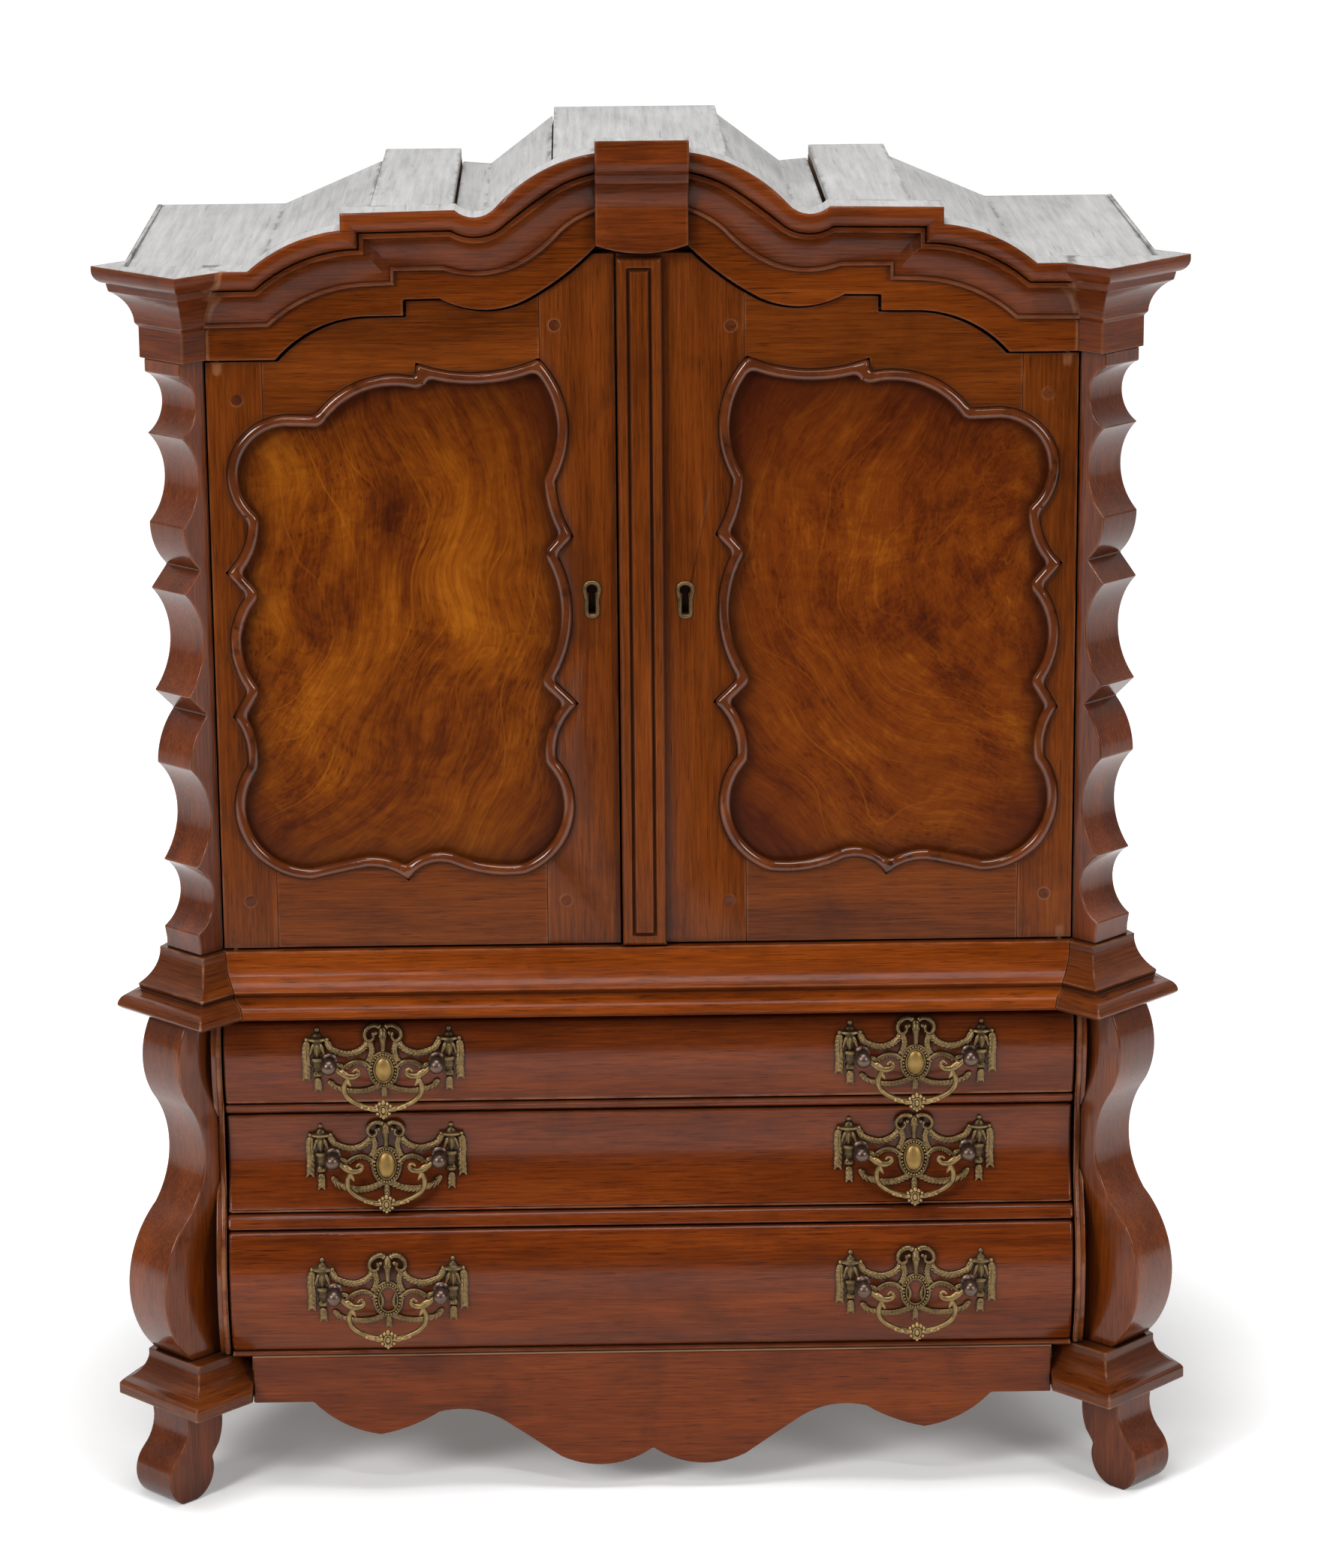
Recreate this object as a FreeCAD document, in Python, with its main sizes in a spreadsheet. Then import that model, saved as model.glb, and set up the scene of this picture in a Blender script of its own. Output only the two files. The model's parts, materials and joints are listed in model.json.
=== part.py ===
# Miniature two-part cupboard: a bombe chest with three drawers carries a two-door case
# under an arched cornice. Millimetres, +Z up, the front faces -Y, and the origin is on
# the floor under the middle of the bounding box.
import FreeCAD, Part
import math
import os
import re
from FreeCAD import Vector

doc = FreeCAD.newDocument("kas_cupboard")

# Driving dimensions
SIZES = {
    "overall_depth": 336.0,
    "board_thick": 12.0,
    "back_thick": 10.0,
    "fit_gap": 0.3,
    "overrun": 700.0,
    # Corner plan of the frieze: spread past the doors, canted face, its return, step before the doors
    "frieze_spread": 38.9,
    "frieze_cant": 39.6,
    "frieze_turn": 17.8,
    "frieze_proud": 4.0,
    # Corner plan of the foot blocks
    "block_spread": 73.4,
    "block_cant": 74.4,
    "block_turn": 39.1,
    "block_proud": 33.5,
    # Feet and foot blocks
    "foot_height": 66.0,
    "foot_reach": 57.0,
    "foot_width": 34.0,
    "rear_foot_width": 46.0,
    "block_height": 27.0,
    "block_cove": 18.5,
    "block_overlap": 11.6,
    "apron_thick": 14.0,
    "apron_set": 19.0,
    "apron_drop": 76.0,
    "chest_floor_thick": 9.0,
    # Chest
    "chest_spread": 30.4,
    "drawer_opening_spread": 1.9,
    "post_depth": 45.0,
    "pilaster_seat": 8.0,
    "bombe_reach": 56.0,
    "bombe_width": 35.0,
    "front_bulge": 28.0,
    "front_back": 10.0,
    "strip_width": 6.5,
    "chest_top_thick": 5.0,
    # Drawers, from the floor of the chest upwards
    "drawer_gap": 1.0,
    "low_drawer_lift": 3.0,
    "low_drawer_height": 79.6,
    "low_rail_height": 10.7,
    "middle_drawer_height": 61.5,
    "high_rail_height": 8.6,
    "high_drawer_height": 53.6,
    "drawer_box_set": 11.5,
    "drawer_back_gap": 14.85,
    "drawer_box_lift": 1.0,
    "drawer_box_drop": 6.0,
    "drawer_wall": 8.0,
    "drawer_floor": 5.0,
    "runner_width": 45.0,
    "runner_height": 7.0,
    # Handles
    "handle_set": 99.5,
    "post_half_spacing": 33.0,
    "post_radius": 4.5,
    "post_end": 4.5,
    "bail_stand": 13.0,
    "bail_side_gap": 1.5,
    "bail_drop": 34.0,
    "bail_rod": 4.5,
    "bail_thick": 4.0,
    "bail_ear": 2.0,
    "bail_pin_radius": 1.5,
    "bail_pin_set": 2.0,
    "plate_thick": 1.6,
    "plate_half": 47.0,
    "plate_below": 19.0,
    "plate_above": 23.0,
    # Waist moulding
    "waist_height": 37.0,
    "waist_reach": 27.4,
    "waist_overlap": 21.6,
    "waist_back": 20.0,
    # Upper case
    "case_height": 367.0,
    "door_opening_half": 261.6,
    "scroll_reach": 20.0,
    "scroll_width": 32.0,
    "shelf_height": 187.0,
    # Frieze and cornice
    "frieze_thick": 18.0,
    "frieze_rise": 67.4,
    "cornice_height": 57.0,
    "cornice_reach": 26.0,
    "cornice_overlap": 16.6,
    "cornice_rise": 124.3,
    "cove_reach": 9.0,
    "fillet_reach": 17.0,
    "keystone_half": 27.5,
    "keystone_drop": 5.0,
    "keystone_height": 65.5,
    "keystone_proud": 8.0,
    "keystone_reach": 36.0,
    "keystone_top_depth": 14.0,
    # Roof
    "roof_spread": 44.4,
    "roof_rise": 60.5,
    "roof_level": 54.0,
    "roof_thick": 6.0,
    # Doors
    "door_thick": 16.0,
    "door_gap": 1.0,
    "door_lift": 1.2,
    "frieze_gap": 1.3,
    "meeting_set": 16.0,
    "outer_stile": 33.5,
    "inner_stile": 45.0,
    "pivot_set": 7.0,
    "pivot_wall": 0.5,
    "pivot_radius": 2.0,
    "pivot_length": 18.0,
    "pivot_entry": 9.0,
    "cartouche_set": 8.4,
    "cartouche_inset": 40.9,
    "cartouche_lift": 42.8,
    "cartouche_drop": 1.3,
    "bead_width": 7.0,
    "bead_proud": 4.0,
    "panel_thick": 6.0,
    "astragal_width": 27.0,
    "astragal_thick": 7.0,
    "astragal_drop": 3.2,
    "escutcheon_width": 8.5,
    "escutcheon_height": 21.0,
    "escutcheon_thick": 1.5,
    "left_escutcheon_place": 32.0,
    "right_escutcheon_place": 24.3,
    "escutcheon_level": 208.0,
}

# Sizes and levels that follow from the driving ones
SUMS = {
    "frieze_half": "door_opening_half + frieze_spread",
    "block_half": "door_opening_half + block_spread",
    "block_inner": "door_opening_half - block_overlap",
    "chest_half": "door_opening_half + chest_spread",
    "drawer_opening_half": "door_opening_half + drawer_opening_spread",
    "drawer_box_half": "drawer_opening_half - drawer_box_set",
    "waist_inner": "door_opening_half - waist_overlap",
    "cornice_inner": "door_opening_half - cornice_overlap",
    "roof_half": "door_opening_half + roof_spread",
    "chest_floor": "foot_height + block_height",
    "low_level": "chest_floor + low_drawer_lift",
    "middle_level": "low_level + low_drawer_height + low_rail_height",
    "high_level": "middle_level + middle_drawer_height + high_rail_height",
    "waist": "high_level + high_drawer_height + drawer_gap + chest_top_thick",
    "chest_height": "waist - chest_floor",
    "case_floor": "waist + waist_height",
    "frieze_level": "case_floor + case_height",
    "handle_place": "drawer_opening_half - handle_set",
    "bail_half": "post_half_spacing - post_radius - bail_side_gap",
    "bail_pin_reach": "post_half_spacing - bail_pin_set",
    "pivot_depth": "pivot_radius + pivot_wall",
    "cartouche_width": "door_opening_half - door_gap - cartouche_set - cartouche_inset",
    "cartouche_height": "case_height - cartouche_lift - cartouche_drop",
    "door_head": "case_height + frieze_rise - keystone_drop - door_lift",
    "astragal_height": "door_head - astragal_drop",
}

sheet = doc.addObject("Spreadsheet::Sheet", "Sizes")
for row, (name, value) in enumerate(SIZES.items(), start=1):
    sheet.set(f"A{row}", name)
    sheet.set(f"B{row}", str(value))
    sheet.setAlias(f"B{row}", name)
doc.recompute()

# Outlines as shares of a named width and height. An entry is a corner, or an arc's
# middle and end.
SCROLL_SHARES = [
    (0.89, 0.0), (0.89, 0.016), (0.965, 0.038),
    ((0.285, 0.095), (0.9, 0.153)),
    ((0.305, 0.223), (1.0, 0.322)),
    ((0.775, 0.373), (0.29, 0.409)),
    (1.0, 0.446),
    ((0.33, 0.534), (1.0, 0.619)),
    (0.365, 0.654),
    ((0.825, 0.689), (0.975, 0.73)),
    ((0.32, 0.804), (0.925, 0.877)),
    ((0.325, 0.924), (0.95, 0.978)),
    (0.95, 1.0),
]
BOMBE_SHARES = [
    (0.64, 0.0),
    ((1.0, 0.225), (0.58, 0.435)),
    ((0.36, 0.57), (0.52, 0.735)),
    ((0.69, 0.87), (0.5, 1.0)),
]
FRONT_SHARES = [
    (0.54, 0.0),
    ((1.0, 0.225), (0.43, 0.435)),
    ((0.14, 0.57), (0.34, 0.735)),
    ((0.57, 0.87), (0.32, 1.0)),
]
FOOT_SHARES = [
    (0.23, 1.0), (0.23, 0.83),
    ((0.23, 0.64), (0.28, 0.5)),
    (0.385, 0.38),
    ((0.385, 0.18), (0.63, 0.0)),
    (0.825, 0.0),
    ((1.0, 0.28), (0.88, 0.485)),
    ((0.77, 0.6), (0.72, 0.76)),
    (0.74, 1.0),
]
FRIEZE_SHARES = [
    (0.0, 0.0), (0.159, 0.0),
    ((0.234, 0.237), (0.365, 0.38)),
    (0.454, 0.383), (0.454, 0.525), (0.537, 0.531),
    ((0.631, 0.427), (0.733, 0.509)),
    ((0.827, 0.742), (0.901, 1.0)),
]
CORNICE_FOOT_SHARES = [
    (0.0, 0.161), (0.163, 0.165),
    ((0.246, 0.274), (0.404, 0.354)),
    (0.4855, 0.359), (0.4855, 0.427), (0.612, 0.428),
    ((0.707, 0.401), (0.783, 0.428)),
    ((0.851, 0.499), (0.912, 0.603)),
    ((0.955, 0.66), (1.0, 0.696)),
]
CORNICE_TOP_SHARES = [
    (0.0, 0.467), (0.12, 0.467),
    ((0.228, 0.587), (0.352, 0.649)),
    (0.357, 0.649), (0.357, 0.73), (0.6455, 0.74),
    ((0.697, 0.704), (0.748, 0.748)),
    ((0.818, 0.865), (0.881, 0.933)),
    ((0.942, 0.977), (1.0, 1.0)),
]
FILLET_SHARE = 0.42
OVOLO_SHARE = 0.7
ROOF_BOARD_SHARES = [
    ((0.0, 0.0), (0.26, 0.0)),
    ((0.26, 0.0), (0.467, 0.446)),
    ((0.474, 0.57), (0.634, 0.57)),
    ((0.637, 0.43), (0.696, 0.405)),
    ((0.696, 0.405), (0.827, 0.909)),
    ((0.83, 1.0), (1.17, 1.0)),
]
PLATE_LOWER_SHARES = [
    (0.0, 0.238), (0.085, 0.238), (0.085, 0.0), (0.19, 0.0), (0.235, 0.167), (0.36, 0.214),
    ((0.7, 0.048), (1.0, 0.119)),
]
PLATE_UPPER_SHARES = [
    (0.0, 0.905), (0.085, 0.952), (0.117, 1.0), (0.18, 1.0), (0.213, 0.93), (0.277, 0.857),
    ((0.53, 0.655), (0.766, 0.81)),
    (0.766, 0.93),
    ((0.82, 0.99), (0.9, 0.98)),
    (1.0, 0.95),
]
HANDLE_SHARE = 0.553
APRON_SHARES = [
    (0.0, 0.592), (0.15, 0.592),
    ((0.2, 0.447), (0.317, 0.297)),
    ((0.392, 0.368), (0.464, 0.489)),
    ((0.552, 0.5), (0.628, 0.401)),
    ((0.7, 0.237), (0.768, 0.079)),
    ((0.872, 0.0), (1.0, 0.145)),
]
CARTOUCHE_SHARES = [
    (0.553, 0.994),
    ((0.735, 0.975), (0.9, 1.0)),
    ((0.981, 0.877), (0.943, 0.77)),
    ((0.957, 0.713), (0.991, 0.664)),
    (0.944, 0.63),
    ((0.985, 0.509), (0.93, 0.388)),
    (1.0, 0.343),
    ((0.952, 0.301), (0.934, 0.236)),
    ((0.976, 0.103), (0.839, 0.01)),
    ((0.73, 0.011), (0.622, 0.033)),
    ((0.559, 0.032), (0.501, 0.0)),
    ((0.446, 0.022), (0.384, 0.028)),
    ((0.313, 0.019), (0.228, 0.006)),
    ((0.025, 0.087), (0.044, 0.23)),
    ((0.041, 0.276), (0.008, 0.325)),
    (0.051, 0.374),
    ((0.007, 0.471), (0.056, 0.559)),
    (0.0, 0.602),
    ((0.053, 0.651), (0.067, 0.699)),
    ((0.025, 0.828), (0.181, 0.9)),
    (0.266, 0.898),
    ((0.38, 0.958), (0.553, 0.968)),
]
BLOCK_SECTION_SHARES = [
    (0.0, 0.0), (0.0, 0.26), (-0.11, 0.32), ((-0.65, 0.48), (-1.0, 0.85)), (-1.0, 1.0),
]
WAIST_SECTION_SHARES = [
    (0.88, 0.0), (1.0, 0.07), ((0.94, 0.18), (0.67, 0.26)), (0.48, 0.3), (0.53, 0.4),
    ((0.24, 0.57), (0.03, 0.92)), (0.03, 1.0),
]
CORNICE_SECTION_SHARES = [
    (0.0, 0.0), (0.0, 0.33), (0.09, 0.37), ((0.2, 0.54), (0.64, 0.72)), (0.69, 0.81),
    ((0.9, 0.85), (1.0, 0.95)), (1.0, 1.0),
]
KEYSTONE_SECTION_SHARES = [
    (0.0, 0.0), (0.0, 0.33), ((0.2, 0.54), (0.6, 0.62)), (0.65, 0.7),
    ((0.92, 0.74), (1.0, 0.86)), (1.0, 1.0),
]
KEYSTONE_STEP_SHARE = 0.75

SIDES = {"left": -1, "right": 1}
HALF_TURN_SHARE = math.sqrt(0.5)
DIAGONAL = "sqrt(0.5)"
MITRE_SHARE = math.sqrt(2) - 1
RETURN_TURN = math.radians(25)
RETURN_ACROSS_SHARE = math.cos(RETURN_TURN)
RETURN_BACK_SHARE = math.sin(RETURN_TURN)
RETURN_REACH_SHARE = RETURN_ACROSS_SHARE - RETURN_BACK_SHARE * MITRE_SHARE
WAIST_SIDE_SHARE = 0.65
CORNICE_SIDE_SHARE = 0.95
SAME_POINT = 1e-7

kept = []


def size(name):
    """Value of a driving size, or of a sum of them."""
    if name not in SUMS:
        return float(sheet.get(name))
    terms = SUMS[name].split()
    signs = ["+"] + terms[1::2]
    return sum(size(term) if sign == "+" else -size(term) for sign, term in zip(signs, terms[::2]))


def bound(text):
    """Expression text with every size name pointed at the sheet."""
    def point(word):
        name = word[0]
        if name in SUMS:
            return f"({bound(SUMS[name])})"
        return f"Sizes.{name}" if name in SIZES else name
    return re.sub(r"[a-z][a-z_]*", point, text)


def node(feature):
    """Mark a finished sub-part, to be written under its label."""
    kept.append(feature)
    return feature


def board(label, corner, spans):
    """Box from a corner and three spans, all expressions."""
    box = doc.addObject("Part::Box", label)
    for axis, text in zip("xyz", corner):
        box.setExpression("Placement.Base." + axis, bound(text))
    for side, text in zip(("Length", "Width", "Height"), spans):
        box.setExpression(side, bound(text))
    return box


def outline(label, path, place):
    """Face inside a closed path whose points the place function puts in space."""
    edges = []
    start = place(*path[0])
    for step in path[1:] + path[:1]:
        is_arc = isinstance(step[0], tuple)
        end = place(*(step[1] if is_arc else step))
        if is_arc:
            edges.append(Part.Arc(start, place(*step[0]), end).toShape())
        elif not start.isEqual(end, SAME_POINT):
            edges.append(Part.LineSegment(start, end).toShape())
        start = end
    face = doc.addObject("Part::Feature", label)
    face.Shape = Part.Face(Part.Wire(edges))
    return face


def prism(label, face, direction, ahead, behind="0"):
    """Face pushed along a direction, with both lengths bound to the sheet."""
    solid = doc.addObject("Part::Extrusion", label)
    solid.Base = face
    solid.DirMode = "Custom"
    solid.Dir = direction
    solid.Solid = True
    solid.setExpression("LengthFwd", bound(ahead))
    solid.setExpression("LengthRev", bound(behind))
    return solid


def joined(kind, label, shapes):
    feature = doc.addObject(kind, label)
    feature.Shapes = list(shapes)
    return feature


def common(label, *shapes):
    return joined("Part::MultiCommon", label, shapes)


def fuse(label, *shapes):
    return joined("Part::MultiFuse", label, shapes)


def group(label, *shapes):
    feature = doc.addObject("Part::Compound", label)
    feature.Links = list(shapes)
    return feature


def cut(label, base, tool):
    feature = doc.addObject("Part::Cut", label)
    feature.Base = base
    feature.Tool = tool
    return feature


def rod(label, radius, length, axis, place):
    """Round bar along an axis, from a start point."""
    bar = doc.addObject("Part::Cylinder", label)
    bar.setExpression("Radius", bound(radius))
    bar.setExpression("Height", bound(length))
    bar.Placement = FreeCAD.Placement(place, FreeCAD.Rotation(UPWARD, axis))
    return bar


def scaled(path, width, height):
    """Path in shares turned into lengths."""
    def grow(point):
        return (point[0] * width, point[1] * height)
    return [tuple(grow(p) for p in step) if isinstance(step[0], tuple) else grow(step) for step in path]


def backwards(path):
    """Same path run from its end to its start."""
    ends = [step[1] if isinstance(step[0], tuple) else step for step in path]
    middles = [step[0] if isinstance(step[0], tuple) else None for step in path]
    turned = [ends[-1]]
    for index in range(len(path) - 1, 0, -1):
        middle = middles[index]
        turned.append((middle, ends[index - 1]) if middle else ends[index - 1])
    return turned


def moved(path, shift):
    """Path with a function applied to each of its points."""
    return [tuple(shift(*p) for p in step) if isinstance(step[0], tuple) else shift(*step) for step in path]


def across(path):
    """Path of the left half carried on to the right half, with shares 0 to 1 to 2."""
    right = moved(backwards(path), lambda u, v: (2 - u, v))
    return path + right


def blended(low, high, share):
    """Path part of the way from a low path to a high one of the same make."""
    def mix(p, q):
        return tuple(a + (b - a) * share for a, b in zip(p, q))
    steps = []
    for one, two in zip(low, high):
        is_arc = isinstance(one[0], tuple)
        steps.append(tuple(mix(p, q) for p, q in zip(one, two)) if is_arc else mix(one, two))
    return steps


# Levels and planes that several pieces share
FRONT = f"(block_proud + block_turn * {DIAGONAL} - overall_depth / 2)"
BACK = "(overall_depth / 2 - back_thick)"

front = size("block_proud") + size("block_turn") * HALF_TURN_SHARE - size("overall_depth") / 2
back = size("overall_depth") / 2
chest_floor = size("chest_floor")
waist = size("waist")
case_floor = size("case_floor")
frieze_level = size("frieze_level")
frieze_end = size("frieze_half") - (size("frieze_cant") + size("frieze_turn")) * HALF_TURN_SHARE
case_half = size("door_opening_half") + size("scroll_width") * HALF_TURN_SHARE
overrun = size("overrun")
UPWARD = Vector(0, 0, 1)
INWARD = Vector(0, 1, 0)
OUTWARD = Vector(0, -1, 0)
ACROSS = Vector(1, 0, 0)


def on_face(depth):
    """Places x and z on an upright plane at a depth behind the door faces."""
    return lambda x, z: Vector(x, front + depth, z)


def canted(sign, half, depth):
    """Origin, normal and run of the 45 degree corner seat beside an opening."""
    origin = Vector(sign * half, front + depth, 0)
    normal = Vector(sign * HALF_TURN_SHARE, -HALF_TURN_SHARE, 0)
    run = Vector(sign * HALF_TURN_SHARE, HALF_TURN_SHARE, 0)
    return origin, normal, run


def moulded_corner(label, sign, plan, section, inner, level, height, side):
    """Corner block of a moulding between three mitred faces, and the lower side run behind it."""
    half, cant, turn, proud = (size(f"{plan}_{word}") for word in ("half", "cant", "turn", "proud"))
    arris = Vector(sign * (half - cant * HALF_TURN_SHARE), front - proud - turn * HALF_TURN_SHARE, 0)
    heel = arris + Vector(sign * cant * HALF_TURN_SHARE, cant * HALF_TURN_SHARE, 0)
    side_half, side_share = side
    faces = {
        "cant": (arris, Vector(sign * HALF_TURN_SHARE, -HALF_TURN_SHARE, 0), 1),
        "turn": (arris, Vector(-sign * HALF_TURN_SHARE, -HALF_TURN_SHARE, 0), 1),
        "return": (heel, Vector(sign * RETURN_ACROSS_SHARE, RETURN_BACK_SHARE, 0), RETURN_REACH_SHARE),
        "side": (Vector(sign * side_half, front, 0), Vector(sign, 0, 0), side_share),
    }
    runs = {}
    for name, (origin, normal, share) in faces.items():
        closed = section + [(-overrun, section[-1][1]), (-overrun, section[0][1])]
        reach = normal * share
        face = outline(f"{label}_{name}_section", closed, lambda p, z: origin + reach * p + UPWARD * z)
        runs[name] = prism(f"{label}_{name}_run", face, normal.cross(UPWARD), "overrun", "overrun")
    start = "-overrun" if sign < 0 else inner
    keep = board(
        f"{label}_length",
        (start, "-overrun", level),
        (f"overrun - {inner}", "overrun + overall_depth / 2", height),
    )
    ends = (runs["cant"], runs["turn"], keep)
    block = common(f"{label}_block", runs["return"], *ends)
    flank = common(f"{label}_flank", runs["side"], *ends)
    return fuse(label, block, flank)


def section_at(shares, reach, level, height):
    """Moulding section as reach and height above the floor."""
    return moved(scaled(shares, reach, height), lambda p, z: (p, level + z))


# Feet
def foot(side, sign):
    origin, normal, run = canted(sign, size("door_opening_half"), 0)
    path = scaled(FOOT_SHARES, size("foot_reach"), size("foot_height"))
    face = outline(f"{side}_foot_outline", path, lambda d, z: origin + normal * d + UPWARD * z)
    return prism(f"{side}_front_foot", face, run, "foot_width")


def rear_feet():
    feet = []
    for side, sign in SIDES.items():
        x = "-chest_half" if sign < 0 else "chest_half - rear_foot_width"
        spans = ("rear_foot_width", "rear_foot_width", "foot_height")
        feet.append(board(f"{side}_rear_foot", (x, f"{BACK} - rear_foot_width", "0"), spans))
    return node(group("rear_feet", *feet))


def foot_block(side, sign):
    cove, level, height = (size(word) for word in ("block_cove", "foot_height", "block_height"))
    section = section_at(BLOCK_SECTION_SHARES, cove, level, height)
    flank = (size("chest_half"), 1)
    return moulded_corner(
        f"{side}_foot_block", sign, "block", section, "block_inner", "foot_height", "block_height", flank)


def apron():
    top = chest_floor - size("chest_floor_thick")
    half = size("block_inner")
    bottom = top - size("apron_drop") + size("chest_floor_thick")
    lower = scaled(across(APRON_SHARES), half, size("apron_drop"))
    path = moved(lower, lambda x, z: (x - half, bottom + z)) + [(half, top), (-half, top)]
    face = outline("apron_outline", path, on_face(-size("apron_set")))
    return node(prism("apron", face, INWARD, "apron_thick"))


# Chest carcass
def chest_front():
    """Solid behind the S-shaped front, from which fronts, rails and strips are taken."""
    path = scaled(FRONT_SHARES, -size("front_bulge"), size("chest_height"))
    path = moved(path, lambda y, z: (y, chest_floor + z))
    path += [(size("front_back"), waist), (size("front_back"), chest_floor)]
    half = size("chest_half")
    face = outline("chest_front_section", path, lambda y, z: Vector(-half, front + y, z))
    return prism("chest_front", face, ACROSS, "chest_half * 2")


def bombe_pilaster(side, sign):
    origin, normal, run = canted(sign, size("door_opening_half"), 0)
    seat = size("pilaster_seat")
    path = scaled(BOMBE_SHARES, size("bombe_reach"), size("chest_height"))
    path = moved(path, lambda d, z: (d, chest_floor + z))
    path += [(seat, waist), (seat, chest_floor)]
    face = outline(f"{side}_bombe_outline", path, lambda d, z: origin + normal * d + UPWARD * z)
    return node(prism(f"bombe_pilaster_{side}", face, run, "bombe_width"))


def chest_post(side, sign, front_solid, pilaster):
    """Corner post with a canted seat, and the strip beside the drawers that follows the front."""
    outer = size("chest_half")
    inner = size("drawer_opening_half")
    meet = size("door_opening_half") + size("pilaster_seat") / HALF_TURN_SHARE
    deep = size("post_depth")
    plan = [(inner, inner - meet), (outer, outer - meet), (outer, deep), (inner, deep)]
    face = outline(f"{side}_chest_post_plan", plan, lambda x, y: Vector(sign * x, front + y, chest_floor))
    post = prism(f"{side}_chest_post_core", face, UPWARD, "chest_height")
    start = "-drawer_opening_half - strip_width" if sign < 0 else "drawer_opening_half"
    space = board(
        f"{side}_strip_space",
        (start, f"{FRONT} - overrun", "chest_floor"),
        ("strip_width", "overrun + front_back", "chest_height"),
    )
    strip = common(f"{side}_strip", front_solid, space)
    whole = fuse(f"{side}_chest_post_whole", post, strip)
    return cut(f"{side}_chest_post", whole, pilaster)


def chest_boards():
    depth = f"({BACK} - {FRONT})"
    for side, sign in SIDES.items():
        x = "-chest_half" if sign < 0 else "chest_half - board_thick"
        spans = ("board_thick", f"{depth} - post_depth + back_thick", "chest_height")
        node(board(f"chest_side_{side}", (x, f"{FRONT} + post_depth", "chest_floor"), spans))
    inside = "(chest_half - board_thick)"
    spans = (f"2 * {inside}", "back_thick", "chest_height")
    back_board = board("chest_back_board", (f"-{inside}", BACK, "chest_floor"), spans)
    back_rail = board(
        "back_rail",
        ("-waist_inner", BACK, "waist"),
        ("2 * waist_inner", "back_thick", "waist_height - board_thick"),
    )
    node(group("chest_back", back_board, back_rail))
    node(board(
        "chest_top",
        ("-drawer_opening_half", FRONT, "waist - chest_top_thick"),
        ("2 * drawer_opening_half", depth, "chest_top_thick"),
    ))
    node(board(
        "chest_floor",
        ("-block_inner", f"{FRONT} - apron_set", "chest_floor - chest_floor_thick"),
        ("2 * block_inner", f"{depth} + apron_set + back_thick", "chest_floor_thick"),
    ))


# Drawers
DRAWERS = ("low", "middle", "high")


def rails(front_solid):
    for name, below in (("low", "low"), ("high", "middle")):
        label = f"drawer_rail_{name}"
        low_edge = f"{below}_level + {below}_drawer_height + drawer_gap"
        space = board(
            f"{label}_space",
            ("-drawer_opening_half", f"{FRONT} - overrun", low_edge),
            ("2 * drawer_opening_half", "2 * overrun", f"{name}_rail_height - 2 * drawer_gap"),
        )
        node(common(label, front_solid, space))


def runners():
    """Bars under the drawer boxes; the lowest pair lies on the chest floor."""
    bars = []
    inside = "(chest_half - board_thick)"
    for name in DRAWERS:
        height = "low_drawer_lift + drawer_box_lift - fit_gap" if name == "low" else "runner_height"
        for side, sign in SIDES.items():
            x = f"-{inside}" if sign < 0 else f"{inside} - runner_width"
            z = f"{name}_level + drawer_box_lift - fit_gap - ({height})"
            spans = ("runner_width", f"{BACK} - {FRONT} - post_depth", height)
            bars.append(board(f"{name}_runner_{side}", (x, f"{FRONT} + post_depth", z), spans))
    return node(group("drawer_runners", *bars))


def drawer(name, front_solid):
    level, height = f"{name}_level", f"{name}_drawer_height"
    depth = f"({BACK} - {FRONT} - front_back - drawer_back_gap)"
    face_space = board(
        f"{name}_face_space",
        ("-drawer_opening_half + drawer_gap", f"{FRONT} - overrun", level),
        ("2 * drawer_opening_half - 2 * drawer_gap", "2 * overrun", height),
    )
    node(common(f"{name}_drawer_front", front_solid, face_space))
    outer = board(
        f"{name}_box_outside",
        ("-drawer_box_half", f"{FRONT} + front_back", f"{level} + drawer_box_lift"),
        ("2 * drawer_box_half", depth, f"{height} - drawer_box_lift - drawer_box_drop"),
    )
    hollow = board(
        f"{name}_box_inside",
        ("-drawer_box_half + drawer_wall", FRONT, f"{level} + drawer_box_lift + drawer_floor"),
        ("2 * drawer_box_half - 2 * drawer_wall", f"front_back + {depth} - drawer_wall", height),
    )
    node(cut(f"{name}_drawer_box", outer, hollow))


# Handles
def front_at(front_solid, level):
    """Depth of the S-shaped front at a height, measured from the door faces."""
    ends = (Vector(0, front - overrun, level), Vector(0, front + overrun, level))
    return front_solid.Shape.common(Part.LineSegment(*ends).toShape()).BoundBox.YMin - front


def handle_level(name):
    return size(f"{name}_level") + HANDLE_SHARE * size(f"{name}_drawer_height")


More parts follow.
